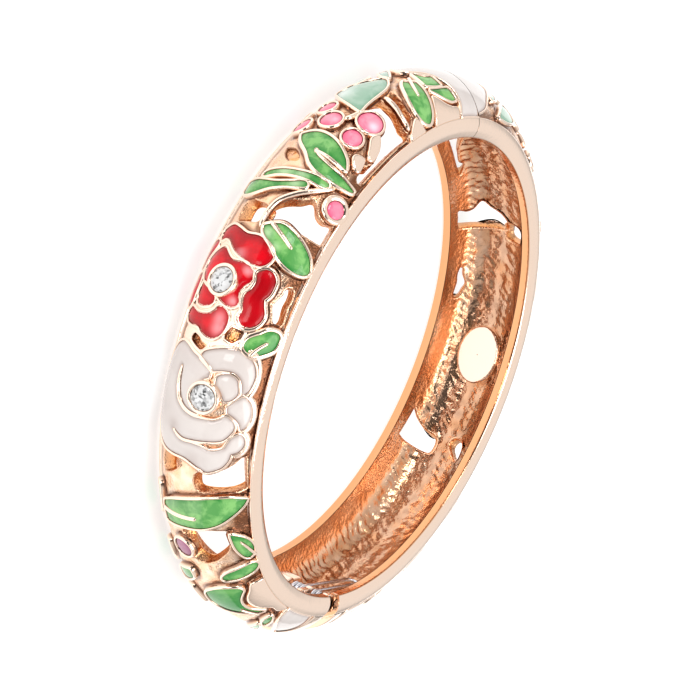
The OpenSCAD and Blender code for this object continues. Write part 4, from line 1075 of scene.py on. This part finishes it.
def web(z0, z1, way):
    """A short arm from a knuckle to the wall: its outline carried up, and set in a little at both
    faces. It is cut short inside the wall, so that it never shows through the field."""
    p = even_steps(WEB * [1, way] + [HINGE_X, 0], 0.25, True)
    middle_z = abs((z0 + z1) / 2 - HALF_W)
    limit = CROWN_C + np.sqrt(max((BASE_R - 0.4) ** 2 - middle_z ** 2, 4.0))
    far = np.linalg.norm(p, axis=1, keepdims=True)
    p = anticlockwise(p * np.minimum(1, limit / far))
    out = sideways(p)
    rows = [(-0.1, z0), (-0.03, z0 + 0.03), (0, z0 + 0.1),
            (0, z1 - 0.1), (-0.03, z1 - 0.03), (-0.1, z1)]
    sides = np.stack([np.column_stack([p + out * o, np.full(len(p), z)]) for o, z in rows], 1)
    verts = sides.reshape(-1, 3)
    centre = verts.mean(0)
    faces = grid_faces(len(p), len(rows), wrap_rows=True)
    blocks = [block(verts, facing(verts, faces, lambda a: centre), depth=0.3)]
    for ring, lift in ((sides[:, 0], -1), (sides[:, -1], 1)):
        tris = np.array(tessellate_polygon([[tuple(v) for v in ring.tolist()]]))
        blocks.append(block(ring, facing(ring, tris, lambda a: a - [0, 0, lift]), depth=0.3))
    return blocks


# %% The spring
COIL_R, WIRE_R, WIRE_COUNT = 1.05, 0.25, 12
LOW_TURNS, HIGH_TURNS = 2.75, 1.5
LOW_COIL_H, HIGH_COIL_H = 1.55, 0.85
LEG_END, LEG_LOW, LEG_HIGH = 10.5, 8.9, 10.5
BEND_R, BEND_Z = 0.8, 9.7


def tube(path, side, radius):
    """Round wire along a path: circles square to it, from a given side direction, with domed
    ends."""
    way = unit(np.gradient(path, axis=0))
    side = unit(side - way * np.sum(side * way, 1, keepdims=True))
    other = np.cross(way, side)
    bend = np.linspace(0.1, np.pi / 2, 4)[:-1]
    before = path[:1] - way[:1] * radius * np.cos(bend)[:, None]
    after = path[-1:] + way[-1:] * radius * np.cos(bend[::-1])[:, None]
    centres = np.concatenate([before, path, after])
    sizes = np.concatenate([np.sin(bend), np.ones(len(path)), np.sin(bend[::-1])]) * radius
    side, other = [np.concatenate([v[:1]] * 3 + [v] + [v[-1:]] * 3)[:, None] for v in (side, other)]
    a = np.linspace(0, 2 * np.pi, WIRE_COUNT, endpoint=False)[None, :, None]
    verts = centres[:, None] + sizes[:, None, None] * (np.cos(a) * side + np.sin(a) * other)
    verts = verts.reshape(-1, 3)
    faces = grid_faces(len(centres), WIRE_COUNT, wrap_cols=True)
    middles = np.repeat(centres, WIRE_COUNT, 0)[faces[:, 0]]
    return block(verts, facing(verts, faces, lambda a: middles))


def coil(turns, z):
    """A coil's middle line round the pin, and the direction away from the pin along it."""
    a = np.pi + turns * 2 * np.pi
    line = np.stack([HINGE_X + COIL_R * np.cos(a), COIL_R * np.sin(a), z], -1)
    return line, np.stack([np.cos(a), np.sin(a), np.zeros(len(a))], -1)


def spring_path():
    """The wire's middle line: 2.75 turns on the pin, a leg along the back half, a bend, a leg home
    and 1.5 turns on the pin. With it, the direction away from the pin."""
    low = np.linspace(LOW_TURNS, 0, 100)[:-1]
    high = np.linspace(0, HIGH_TURNS, 55)[1:]
    bend = np.linspace(-np.pi / 2, np.pi / 2, 16)[1:-1]
    straight = np.linspace(0, LEG_END, 24)
    first, first_side = coil(low, LEG_LOW - LOW_COIL_H * low / LOW_TURNS)
    last, last_side = coil(high, LEG_HIGH + HIGH_COIL_H * high / HIGH_TURNS)
    y = np.concatenate([straight, LEG_END + BEND_R * np.cos(bend), straight[::-1]])
    low_z, high_z = [np.full(len(straight), height) for height in (LEG_LOW, LEG_HIGH)]
    z = np.concatenate([low_z, BEND_Z + BEND_R * np.sin(bend), high_z])
    leg = np.stack([np.full(len(y), HINGE_X - COIL_R), y, z], -1)
    path = np.concatenate([first, leg, last])
    side = np.concatenate([first_side, np.tile([-1.0, 0, 0], (len(leg), 1)), last_side])
    return path, side


# %% The plate, and the hinge put together
PLATE_AT, PLATE_HALF = 88.5, (3.8, 2.9)
PLATE_COUNT = 72
PLATE_ROWS = [  # (share of the size, distance from the axis)
    (1.04, 34.1), (1.0, 33.4), (0.99, 32.75), (0.965, 32.66), (0.93, 32.62), (0.88, 32.6),
    (0.6, 32.6), (0.3, 32.6), (0.02, 32.6)]


def oval_plate():
    """The plate: an ellipse carried out from the wall, with a soft edge and a flat face."""
    s = PLATE_AT * DEG
    out = np.array([np.cos(s), np.sin(s), 0])
    along = np.array([-np.sin(s), np.cos(s), 0])
    up = np.array([0, 0, 1.0])
    a = np.linspace(0, 2 * np.pi, PLATE_COUNT, endpoint=False)[:, None]
    size, reach = np.array(PLATE_ROWS).T
    r = np.broadcast_to(reach, (PLATE_COUNT, len(reach)))
    verts = (out * r[..., None] + along * (PLATE_HALF[0] * np.cos(a) * size)[..., None]
             + up * (HALF_W + PLATE_HALF[1] * np.sin(a) * size)[..., None]).reshape(-1, 3)
    faces = grid_faces(PLATE_COUNT, len(reach), wrap_rows=True)
    return block(verts, facing(verts, faces, lambda p: p + out * 5), depth=0.05)


front_hinge = [knuckle(*z) for z in FRONT_KNUCKLES]
front_hinge += [b for z in FRONT_KNUCKLES for b in web(*z, -1)]
back_hinge = [knuckle(*z) for z in BACK_KNUCKLES]
back_hinge += [b for z in BACK_KNUCKLES for b in web(*z, 1)]
wire, wire_side = spring_path()
spring = tube(wire, wire_side, WIRE_R)
print("spring wire", round(float(run(wire)[-1]), 1), "mm long")

# %% [markdown]
# ## Finishes
# The gold is one metal, polished, cast or hammered. It turns deeper and redder where it lies below
# the dome, because there it is seen after several bounces. The shade is painted shade: it turns the
# gold brown at the borders' feet, in corners, along the lips and inside the hollow, where little
# light reaches, and part of that brown stands for the patina that cast gold keeps in its hollows.
# The enamels are glossy glass with cloudy colour, lighter in the middle of a cell, with lighter
# blooms, which are painted highlights, and darker places, mostly painted shade, charted one by one.
# Noise alone could vary both. Numbers stored on the mesh put the brown and the blooms at the
# charted places, and they look the same from every side.

# %% Nodes
def join(tree, node, inputs):
    """The node with its inputs set: an output is linked, and a plain value is stored."""
    for socket, value in inputs.items():
        if hasattr(value, "is_output"):
            tree.links.new(value, node.inputs[socket])
        else:
            node.inputs[socket].default_value = value
    return node


def add(tree, kind, inputs=None, out=0, **settings):
    """A new node with its settings and inputs. It gives back the output that is asked for."""
    node = tree.nodes.new("ShaderNode" + kind)
    for key, value in settings.items():
        setattr(node, key, value)
    return join(tree, node, inputs or {}).outputs[out]


def maths(tree, operation, a, b):
    """Two numbers taken together by the operation."""
    return add(tree, "Math", {0: a, 1: b}, operation=operation)


def mix(tree, share, first, second):
    """The first colour turned towards the second by the share."""
    return add(tree, "MixRGB", {"Fac": share, "Color1": first, "Color2": second})


def ranged(tree, value, low, high, to_low=0.0, to_high=1.0, kind="LINEAR"):
    """The value carried from one range to another and kept inside it."""
    return add(tree, "MapRange", {"Value": value, "From Min": low, "From Max": high,
                                  "To Min": to_low, "To Max": to_high}, interpolation_type=kind)


def noise(tree, at, scale, detail=2.0, roughness=0.5, out="Fac"):
    """Noise with that many waves to the metre."""
    inputs = {"Vector": at, "Scale": scale, "Detail": detail, "Roughness": roughness}
    return add(tree, "TexNoise", inputs, out)


def bumped(tree, height, distance):
    """A normal bent by the height, which stands for that distance in mm."""
    return add(tree, "Bump", {"Height": height, "Strength": 1.0, "Distance": distance * MM})


# %% Shared node groups
def new_group(name, inputs, outputs):
    """An empty shader node group with these sockets, given as names and kinds."""
    group = bpy.data.node_groups.new(name, "ShaderNodeTree")
    for direction, sockets in (("INPUT", inputs), ("OUTPUT", outputs)):
        for label, kind in sockets.items():
            kind = "NodeSocket" + kind
            group.interface.new_socket(name=label, in_out=direction, socket_type=kind)
    into = group.nodes.new("NodeGroupInput").outputs
    return group, into, group.nodes.new("NodeGroupOutput")


def grain_group():
    """Cast grain: a value from fine noise over coarse noise, each by its waves to the metre."""
    sockets = {"Vector": "Vector", "Coarse": "Float", "Fine": "Float"}
    group, into, out = new_group("cast_grain", sockets, {"Height": "Float"})
    big = noise(group, into["Vector"], into["Coarse"], 3.0, 0.6)
    small = noise(group, into["Vector"], into["Fine"])
    join(group, out, {"Height": maths(group, "ADD", big, small)})
    return group


def depth_group():
    """Gold by depth: the top colour, which turns to the middle one from 0.1 to 0.4 mm below the
    dome and to the deep one from 0.55 to 1.1 mm, all of it browner by the painted shade."""
    sockets = {"Depth": "Float", "Shade": "Float"}
    sockets.update(dict.fromkeys(("Top", "Middle", "Deep", "Shade and patina"), "Color"))
    group, into, out = new_group("gold_by_depth", sockets, {"Color": "Color"})
    upper_tone = mix(group, ranged(group, into["Depth"], 0.1, 0.4), into["Top"], into["Middle"])
    tone = mix(group, ranged(group, into["Depth"], 0.55, 1.1), upper_tone, into["Deep"])
    join(group, out, {"Color": mix(group, into["Shade"], tone, into["Shade and patina"])})
    return group


def cloud_group():
    """Cloudy enamel: noise drawn out by a bent vector, from 0 to 1. Middle rises from 0 at a cell's
    border to 1 at the edge's distance from it."""
    sockets = {"Vector": "Vector", "Size": "Float", "Depth": "Float", "Edge": "Float"}
    group, into, out = new_group("enamel_clouds", sockets, {"Clouds": "Float", "Middle": "Float"})
    bend = noise(group, into["Vector"], into["Size"], 1.0, out="Color")
    push = add(group, "VectorMath", {0: bend, "Scale": 0.0016}, operation="SCALE")
    moved = add(group, "VectorMath", {0: into["Vector"], 1: push}, operation="ADD")
    cloudy = noise(group, moved, into["Size"], 4.0, 0.62)
    join(group, out, {
        "Clouds": ranged(group, cloudy, 0.4, 0.6, kind="SMOOTHSTEP"),
        "Middle": ranged(group, into["Depth"], 0.0, into["Edge"], kind="SMOOTHSTEP")})
    return group


GRAIN, BY_DEPTH, CLOUDS = grain_group(), depth_group(), cloud_group()
print("groups", [group.name for group in (GRAIN, BY_DEPTH, CLOUDS)])

# %% Gold and enamel
# colours by depth below the dome: the redder deep one is painted light that has bounced in hollows
TOP, MIDDLE, DEEP = (0.95, 0.74, 0.60, 1), (0.93, 0.60, 0.40, 1), (0.90, 0.38, 0.12, 1)
# browns that the painted shade turns the gold towards; part of this brown is patina in the hollows
SHADE_AND_PATINA_BROWN, CAST_SHADE_AND_PATINA_BROWN = (0.16, 0.06, 0.035, 1), (0.17, 0.058, 0.024, 1)
SPREAD = 0.06  # of the gold's roughness, up and down


def material(name):
    """A new node material: its tree, its shader and the object coordinates."""
    m = bpy.data.materials.new(name)
    m.use_nodes = True
    tree = m.node_tree
    return m, tree, tree.nodes["Principled BSDF"], add(tree, "TexCoord", out="Object")


def from_mesh(tree):
    """The two numbers that each vertex carries: its depth and its shade."""
    names = ("depth_mm", "shade")
    return [add(tree, "Attribute", out="Fac", attribute_name=name) for name in names]


def gold(name, roughness, bump, coarse, fine, foot=SHADE_AND_PATINA_BROWN):
    """Rose gold whose colour follows the depth below the dome, with its own grain."""
    m, tree, shader, at = material(name)
    depth, shade = from_mesh(tree)
    grain = add(tree, "Group", {"Vector": at, "Coarse": coarse, "Fine": fine}, node_tree=GRAIN)
    colour = add(tree, "Group", {"Depth": depth, "Shade": shade, "Top": TOP, "Middle": MIDDLE,
                                 "Deep": DEEP, "Shade and patina": foot}, node_tree=BY_DEPTH)
    rough = ranged(tree, grain, 0.7, 1.3, max(roughness - SPREAD, 0.03), roughness + SPREAD)
    join(tree, shader, {"Base Color": colour, "Metallic": 1.0, "Roughness": rough,
                        "Normal": bumped(tree, grain, bump)})
    return m


def enamel(name, light, dark, size, edge, clouds, gloss=0.5, rough=0.08, glow=None):
    """Glossy enamel: cloudy between a light and a dark colour, darker at its border. Where the
    shade is above 0 it goes towards the glow colour, a painted highlight, and below 0 towards the
    dark one, painted shade."""
    light, dark, glow = [(*colour, 1) for colour in (light, dark, glow or light)]
    m, tree, shader, at = material(name)
    depth, shade = from_mesh(tree)
    pattern = add(tree, "Group", {"Vector": at, "Size": size, "Depth": depth, "Edge": edge},
                  node_tree=CLOUDS).node.outputs
    share = maths(tree, "MULTIPLY", pattern["Clouds"], clouds)
    base = maths(tree, "MULTIPLY", pattern["Middle"], 1 - clouds)
    kept = ranged(tree, shade, -1.0, 0.0)
    lightness = maths(tree, "MULTIPLY", maths(tree, "ADD", share, base), kept)
    colour = mix(tree, ranged(tree, shade, 0.0, 1.0), mix(tree, lightness, dark, light), glow)
    waves = noise(tree, at, 420.0, 1.0)
    join(tree, shader, {"Base Color": colour, "Roughness": rough, "Specular IOR Level": gloss,
                        "Normal": bumped(tree, waves, 0.04)})
    return m


metals = [gold("polished_rose_gold", 0.12, 0.02, 700.0, 2600.0),
          gold("cast_rose_gold", 0.24, 0.1, 900.0, 3200.0, CAST_SHADE_AND_PATINA_BROWN),
          gold("hammered_rose_gold", 0.18, 0.06, 700.0, 2400.0)]

# glow: the colour of an enamel's painted highlights
# name, light colour, dark colour, clouds to the metre, mm to the full light, share of the clouds
enamels = {
    "white": enamel("white_enamel", (0.62, 0.565, 0.535), (0.46, 0.385, 0.355), 160.0, 0.5, 0.25),
    "red": enamel("red_enamel", (0.66, 0.002, 0.010), (0.30, 0.0, 0.003), 260.0, 1.2, 0.45,
                  gloss=0.3, rough=0.14, glow=(0.92, 0.42, 0.44)),
    "green": enamel("green_enamel", (0.205, 0.465, 0.14), (0.03, 0.22, 0.04), 520.0, 0.7, 0.7,
                    gloss=0.3, glow=(0.58, 0.74, 0.47)),
    "mint": enamel("mint_enamel", (0.34, 0.48, 0.37), (0.19, 0.37, 0.25), 300.0, 0.9, 0.6,
                   glow=(0.74, 0.80, 0.76)),
    "pink": enamel("pink_enamel", (0.88, 0.27, 0.36), (0.80, 0.09, 0.20), 500.0, 0.7, 0.5,
                   glow=(0.94, 0.66, 0.74)),
    "lilac": enamel("lilac_enamel", (0.44, 0.18, 0.28), (0.27, 0.07, 0.15), 500.0, 0.7, 0.5),
}
print("gold", [m.name for m in metals], "enamel", [*enamels])

# %% Steel, glass and foil
steel, tree, shader, at = material("spring_steel")
grain = add(tree, "Group", {"Vector": at, "Coarse": 900.0, "Fine": 5200.0}, node_tree=GRAIN)
join(tree, shader, {"Base Color": mix(tree, grain, (0.42, 0.42, 0.45, 1), (0.66, 0.66, 0.70, 1)),
                    "Metallic": 1.0, "Roughness": 0.22, "Normal": bumped(tree, grain, 0.01)})

glass, tree, shader, at = material("cut_stone_glass")
cells = add(tree, "TexVoronoi", {"Vector": at, "Scale": 3400.0}, "Color")
spark = ranged(tree, add(tree, "SeparateColor", {0: cells}), 0.0, 0.6, 0.05, 0.78)
join(tree, shader, {"Base Color": add(tree, "CombineColor", {0: spark, 1: spark, 2: spark}),
                    "Transmission Weight": 0.25, "IOR": 1.6, "Roughness": 0.0})

foil, tree, shader, at = material("stone_foil")
speckle = noise(tree, at, 900.0)
join(tree, shader, {"Base Color": mix(tree, speckle, (0.80, 0.82, 0.86, 1), (0.95, 0.95, 0.97, 1)),
                    "Metallic": 1.0, "Roughness": 0.06})
print("materials", len(bpy.data.materials))

# %% [markdown]
# ## The stones
# Each stone is a small round brilliant: an eight-sided table, rows of facets down to the girdle,
# and a pointed underside that is backed with bright foil. Clear glass alone would look grey at this
# size, so a fine speckle of dark and light stands for the many small reflections that make it
# sparkle.

# %% A brilliant cut
STONE_ROWS = [  # (radius share, height over the girdle in mm, points, turn in parts of a point)
    (0.55, 0.5, 8, 0.0), (0.8, 0.3, 8, 0.5), (1.0, 0.05, 16, 0.0), (1.0, -0.05, 16, 0.0),
    (0.55, -0.32, 8, 0.5)]


def brilliant(place, radius, girdle):
    """Rings of points at their heights, joined by flat facets: the outer shell of all points."""
    rings = []
    for share, height, count, turn in STONE_ROWS:
        a = (np.arange(count) + turn) * 2 * np.pi / count
        r, z = share * radius, np.full(count, girdle + height)
        rings.append(np.column_stack([r * np.cos(a), r * np.sin(a), z]))
    local = np.concatenate(rings + [[[0, 0, girdle + 0.5]], [[0, 0, girdle - 0.5]]])
    verts = from_seat(local, place)
    middle = verts.mean(0)
    # first points of the rings: table, middle, girdle's top and foot, lower ring; then both ends
    t, m, g, h, d, hub, culet = 0, 8, 16, 32, 48, 56, 57
    i, j = np.arange(8), np.arange(16)
    n, k = (i + 1) % 8, (j + 1) % 16
    left, mid, right = 2 * i, 2 * i + 1, (2 * i + 2) % 16
    above = [(t + i, t + n, hub), (t + i, m + i, t + n), (t + n, m + i, g + right),
             (t + n, g + right, m + n), (m + i, g + left, g + mid), (m + i, g + mid, g + right),
             (g + j, h + j, h + k), (g + j, h + k, g + k)]
    below = [(h + left, d + i, h + mid), (h + mid, d + i, h + right), (d + i, d + n, h + right),
             (d + i, culet, d + n)]

    def outward(parts):
        faces = np.concatenate([np.stack(np.broadcast_arrays(*part), -1) for part in parts])
        a, b, c = verts[faces[:, 0]], verts[faces[:, 1]], verts[faces[:, 2]]
        wrong = np.sum(np.cross(b - a, c - a) * (a - middle), 1) < 0
        return np.where(wrong[:, None], faces[:, ::-1], faces)

    return [block(verts, outward(parts), number, smooth=False)
            for number, parts in enumerate((above, below))]


# %% [markdown]
# ## Putting the bangle together
# Each half gets its casting, its relief, its enamel inlays and its stones. They ride on that half's
# body, and stand for the plain solids of the model. The back half's pieces are the same, turned
# over.

# %% The inlays
CELLS = {  # colour, cells, swell
    "end_panels": ("white", END_PANELS, 0.07), "rose_petals": ("white", ROSE, 0.22),
    "red_petals": ("red", RED, 0.26), "green_leaves": ("green", GREEN, 0.13),
    "mint_leaf": ("mint", MINT, 0.12),
}
BERRIES = {
    "pink_berries": ("pink", PINK_BERRIES, 0.24), "lilac_berry": ("lilac", LILAC_BERRIES, 0.2),
}
ENAMEL_EDGE = -0.13  # lift at the border
UNDER_BORDER = 0.05  # mm that the enamel reaches under the border
# blooms: (degrees, mm, radius in mm, strength): a painted highlight where above 0 and painted
# shade where below, though a few of the dark ones only darken a cell's own colour
PAINTED_LIGHT_SPOTS = {
    "red_petals": [(97.6, 0.2, 0.7, 0.5), (95.6, 0.35, 0.7, 0.55), (107.2, 1.2, 0.6, 0.65),
        (101.2, 0.9, 0.5, 0.6), (109.8, -0.6, 0.7, 0.4), (98.4, 2.5, 0.5, 0.4),
        (106.2, 3.6, 1.2, -0.6), (103, 3.3, 1.2, -0.6), (99.8, 3.5, 1.2, -0.6),
        (105.4, 0.4, 0.8, -0.5), (112, -1.1, 0.6, -0.5), (97, -3.2, 1.2, -0.2)],
    "green_leaves": [(115.2, 1.2, 0.6, 0.5), (113.4, 2.8, 0.5, 0.4), (127.8, -1.2, 1.0, 0.6),
        (128.5, 0.9, 0.7, 0.5), (126, 0.9, 0.7, 0.5), (60.5, 1.2, 1.5, 0.15), (59.5, -2, 1.2, 0.25),
        (30, 3, 4, -1)],
    "mint_leaf": [(151.8, -3, 1.2, 0.7), (160, -2.4, 1.0, 0.5)],
    "rose_petals": [(88.5, 1.1, 0.5, -0.6), (86.5, 6, 0.7, -0.5), (77.5, 5.8, 0.7, -0.6),
        (70.3, 0.9, 1.1, -0.5), (75.7, -2.2, 0.8, -0.7), (74.5, 4.1, 0.7, -0.4),
        (78, -5, 2.5, -0.4), (89, -5, 2.5, -0.3)],
    "pink_berries": [(145.8, 3.7, 0.6, 0.8), (142.6, -0.4, 0.5, 0.4), (125.6, 6.6, 1.0, -0.4)],
}


def with_painted_light(b, spots):
    """The block with its shade, painted highlights and painted shade, set by spots that fade with
    the square of the distance.
    """
    x, w = chart_of(b["verts"]).T
    shade = np.zeros(len(x))
    for s, at_w, r, strength in spots:
        shade = shade + strength * np.exp(-((x - s * PER_DEG) ** 2 + (w - at_w) ** 2) / r ** 2)
    return changed(b, shade=np.clip(shade, -1, 1))


inlays = {}
for node, (colour, table, swell) in CELLS.items():
    blocks = [cap(cell_loops[name], ENAMEL_EDGE, swell, inset=-UNDER_BORDER, clear=STONES)
              for name in table]
    inlays[node] = (colour, [trimmed(b) for b in blocks])
for node, (colour, berries, swell) in BERRIES.items():
    inlays[node] = (colour, [cap(round_loop(*b), ENAMEL_EDGE, swell) for b in berries])
for node, (colour, blocks) in inlays.items():
    inlays[node] = (colour, [with_painted_light(b, PAINTED_LIGHT_SPOTS.get(node, [])) for b in blocks])
print("inlays", sum(len(blocks) for _, blocks in inlays.values()), "on each half")

# %% Hang everything on the frame
stones = {"red_flower_stone": RED_FLOWER_STONE, "rose_stone": ROSE_STONE}
CUP_GAP = 0.02    # mm between a stone and its cup
CUP_COVER = 0.12  # mm from a stone's widest line up to the top of its cup
girdle_r, girdle_h = STONE_R - CUP_GAP, CROWN_R + CUP_H - CUP_COVER
walls = {"front": front_wall, "back": back_wall}
hinges = {"front": front_hinge, "back": back_hinge + [oval_plate()]}

for side in ("front", "back"):
    turn = side == "back"
    piece(side + "_casting", walls[side], metals, side, [side + "_half"], turn)
    piece(side + "_relief", relief, metals, side, [], turn)
    piece(side + "_knuckles", hinges[side], metals, side)
    for node, (colour, blocks) in inlays.items():
        piece(f"{side}_{node}_enamel", blocks, [enamels[colour]], side,
              [f"{side}_{node}"], turn)
    for node, place in stones.items():
        piece(f"{side}_{node}_cut", brilliant(seat(*place), girdle_r, girdle_h), [glass, foil],
              side, [f"{side}_{node}"], turn)
piece("spring_wire", [spring], [steel], "back", ["hinge_spring"])
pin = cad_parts["hinge_pin"]
pin.data.materials.clear()
pin.data.materials.append(steel)

# %% [markdown]
# ## Floor, light and camera
# The bangle lies on a pale floor that glows a little, under soft light: a large box overhead, one
# from the left, a small one in front, and a white world that is a little darker at the horizon. In
# reflections only, a wide part of the world in front is dark, as gold looks flat unless it has
# something dark to reflect.

# %% The floor and the world
FLOOR_HALF = 3  # metres
FLOOR_GLOW = (0.62, 0.8)  # seen straight, and in reflections
HORIZON, SKY, SKY_FROM = 0.42, 0.95, 0.42
DARK_WAY, DARK_WIDE = (-0.103, -0.886, 0.454), (0.6, 1, 1)
WHITE = (1, 1, 1, 1)

h = FLOOR_HALF
mesh = bpy.data.meshes.new("floor")
mesh.from_pydata([(-h, -h, 0), (h, -h, 0), (h, h, 0), (-h, h, 0)], [], [(0, 1, 2, 3)])
floor = linked("floor", mesh)
pale, tree, shader = material("pale_floor")[:3]
glow = ranged(tree, add(tree, "LightPath", out="Is Glossy Ray"), 0.0, 1.0, *FLOOR_GLOW)
join(tree, shader, {"Base Color": (0.5, 0.5, 0.5, 1), "Roughness": 0.8, "Emission Color": WHITE,
                    "Emission Strength": glow})
mesh.materials.append(pale)

world = bpy.data.worlds.new("studio")
bpy.context.scene.world = world
world.use_nodes = True
tree = world.node_tree
towards = add(tree, "TexCoord", out="Generated")
height = add(tree, "SeparateXYZ", {0: towards}, "Z")
sky = ranged(tree, height, 0.0, SKY_FROM, HORIZON, SKY)
wide = add(tree, "VectorMath", {0: towards, 1: DARK_WIDE}, operation="MULTIPLY")
level = add(tree, "VectorMath", {0: wide}, operation="NORMALIZE")
in_front = add(tree, "VectorMath", {0: level, 1: DARK_WAY}, "Value", operation="DOT_PRODUCT")
dark = ranged(tree, in_front, 0.82, 0.95, 0.0, 0.88, "SMOOTHSTEP")
reflected = maths(tree, "MULTIPLY", dark, add(tree, "LightPath", out="Is Glossy Ray"))
strength = maths(tree, "MULTIPLY", sky, maths(tree, "SUBTRACT", 1.0, reflected))
join(tree, tree.nodes["Background"], {"Color": WHITE, "Strength": strength})
print("floor", 2 * FLOOR_HALF, "m wide, sky", SKY)

# %% The camera and the light
RIGHT = (-0.281689, 0.480164, 0.830719)
UP = (-0.944238, 0.015106, -0.328913)
BACK = (-0.170481, -0.877049, 0.449134)
CAMERA_MM = (-68.65, -353.69, 186.73)
AIM = (0, 0, 0.006)

camera = bpy.data.cameras.new("camera")
camera.lens, camera.sensor_width = 172.2, 36
camera.clip_start, camera.clip_end = 0.01, 10
view = linked("camera", camera)
axes = Matrix((RIGHT, UP, BACK)).transposed().to_4x4()
axes.translation = [v * MM for v in CAMERA_MM]
view.matrix_world = axes
bpy.context.scene.camera = view
bpy.context.scene.view_settings.view_transform = "Standard"


def softbox(name, place, size, power):
    """A square area light aimed at the bangle's middle. Its size is in metres, its power in
    watts."""
    light = bpy.data.lights.new(name, "AREA")
    light.size, light.energy = size, power
    turn = (Vector(AIM) - Vector(place)).to_track_quat("-Z", "Y").to_matrix().to_4x4()
    linked(name, light).matrix_world = Matrix.Translation(place) @ turn


softbox("overhead", (0.1, -0.1, 0.6), 0.4, 1.9)
softbox("left", (-0.5, -0.35, 0.35), 0.2, 1.0)
softbox("front", (0.0, -0.49, 0.1), 0.16, 0.4)
print("lights", [lamp.name for lamp in bpy.data.lights])
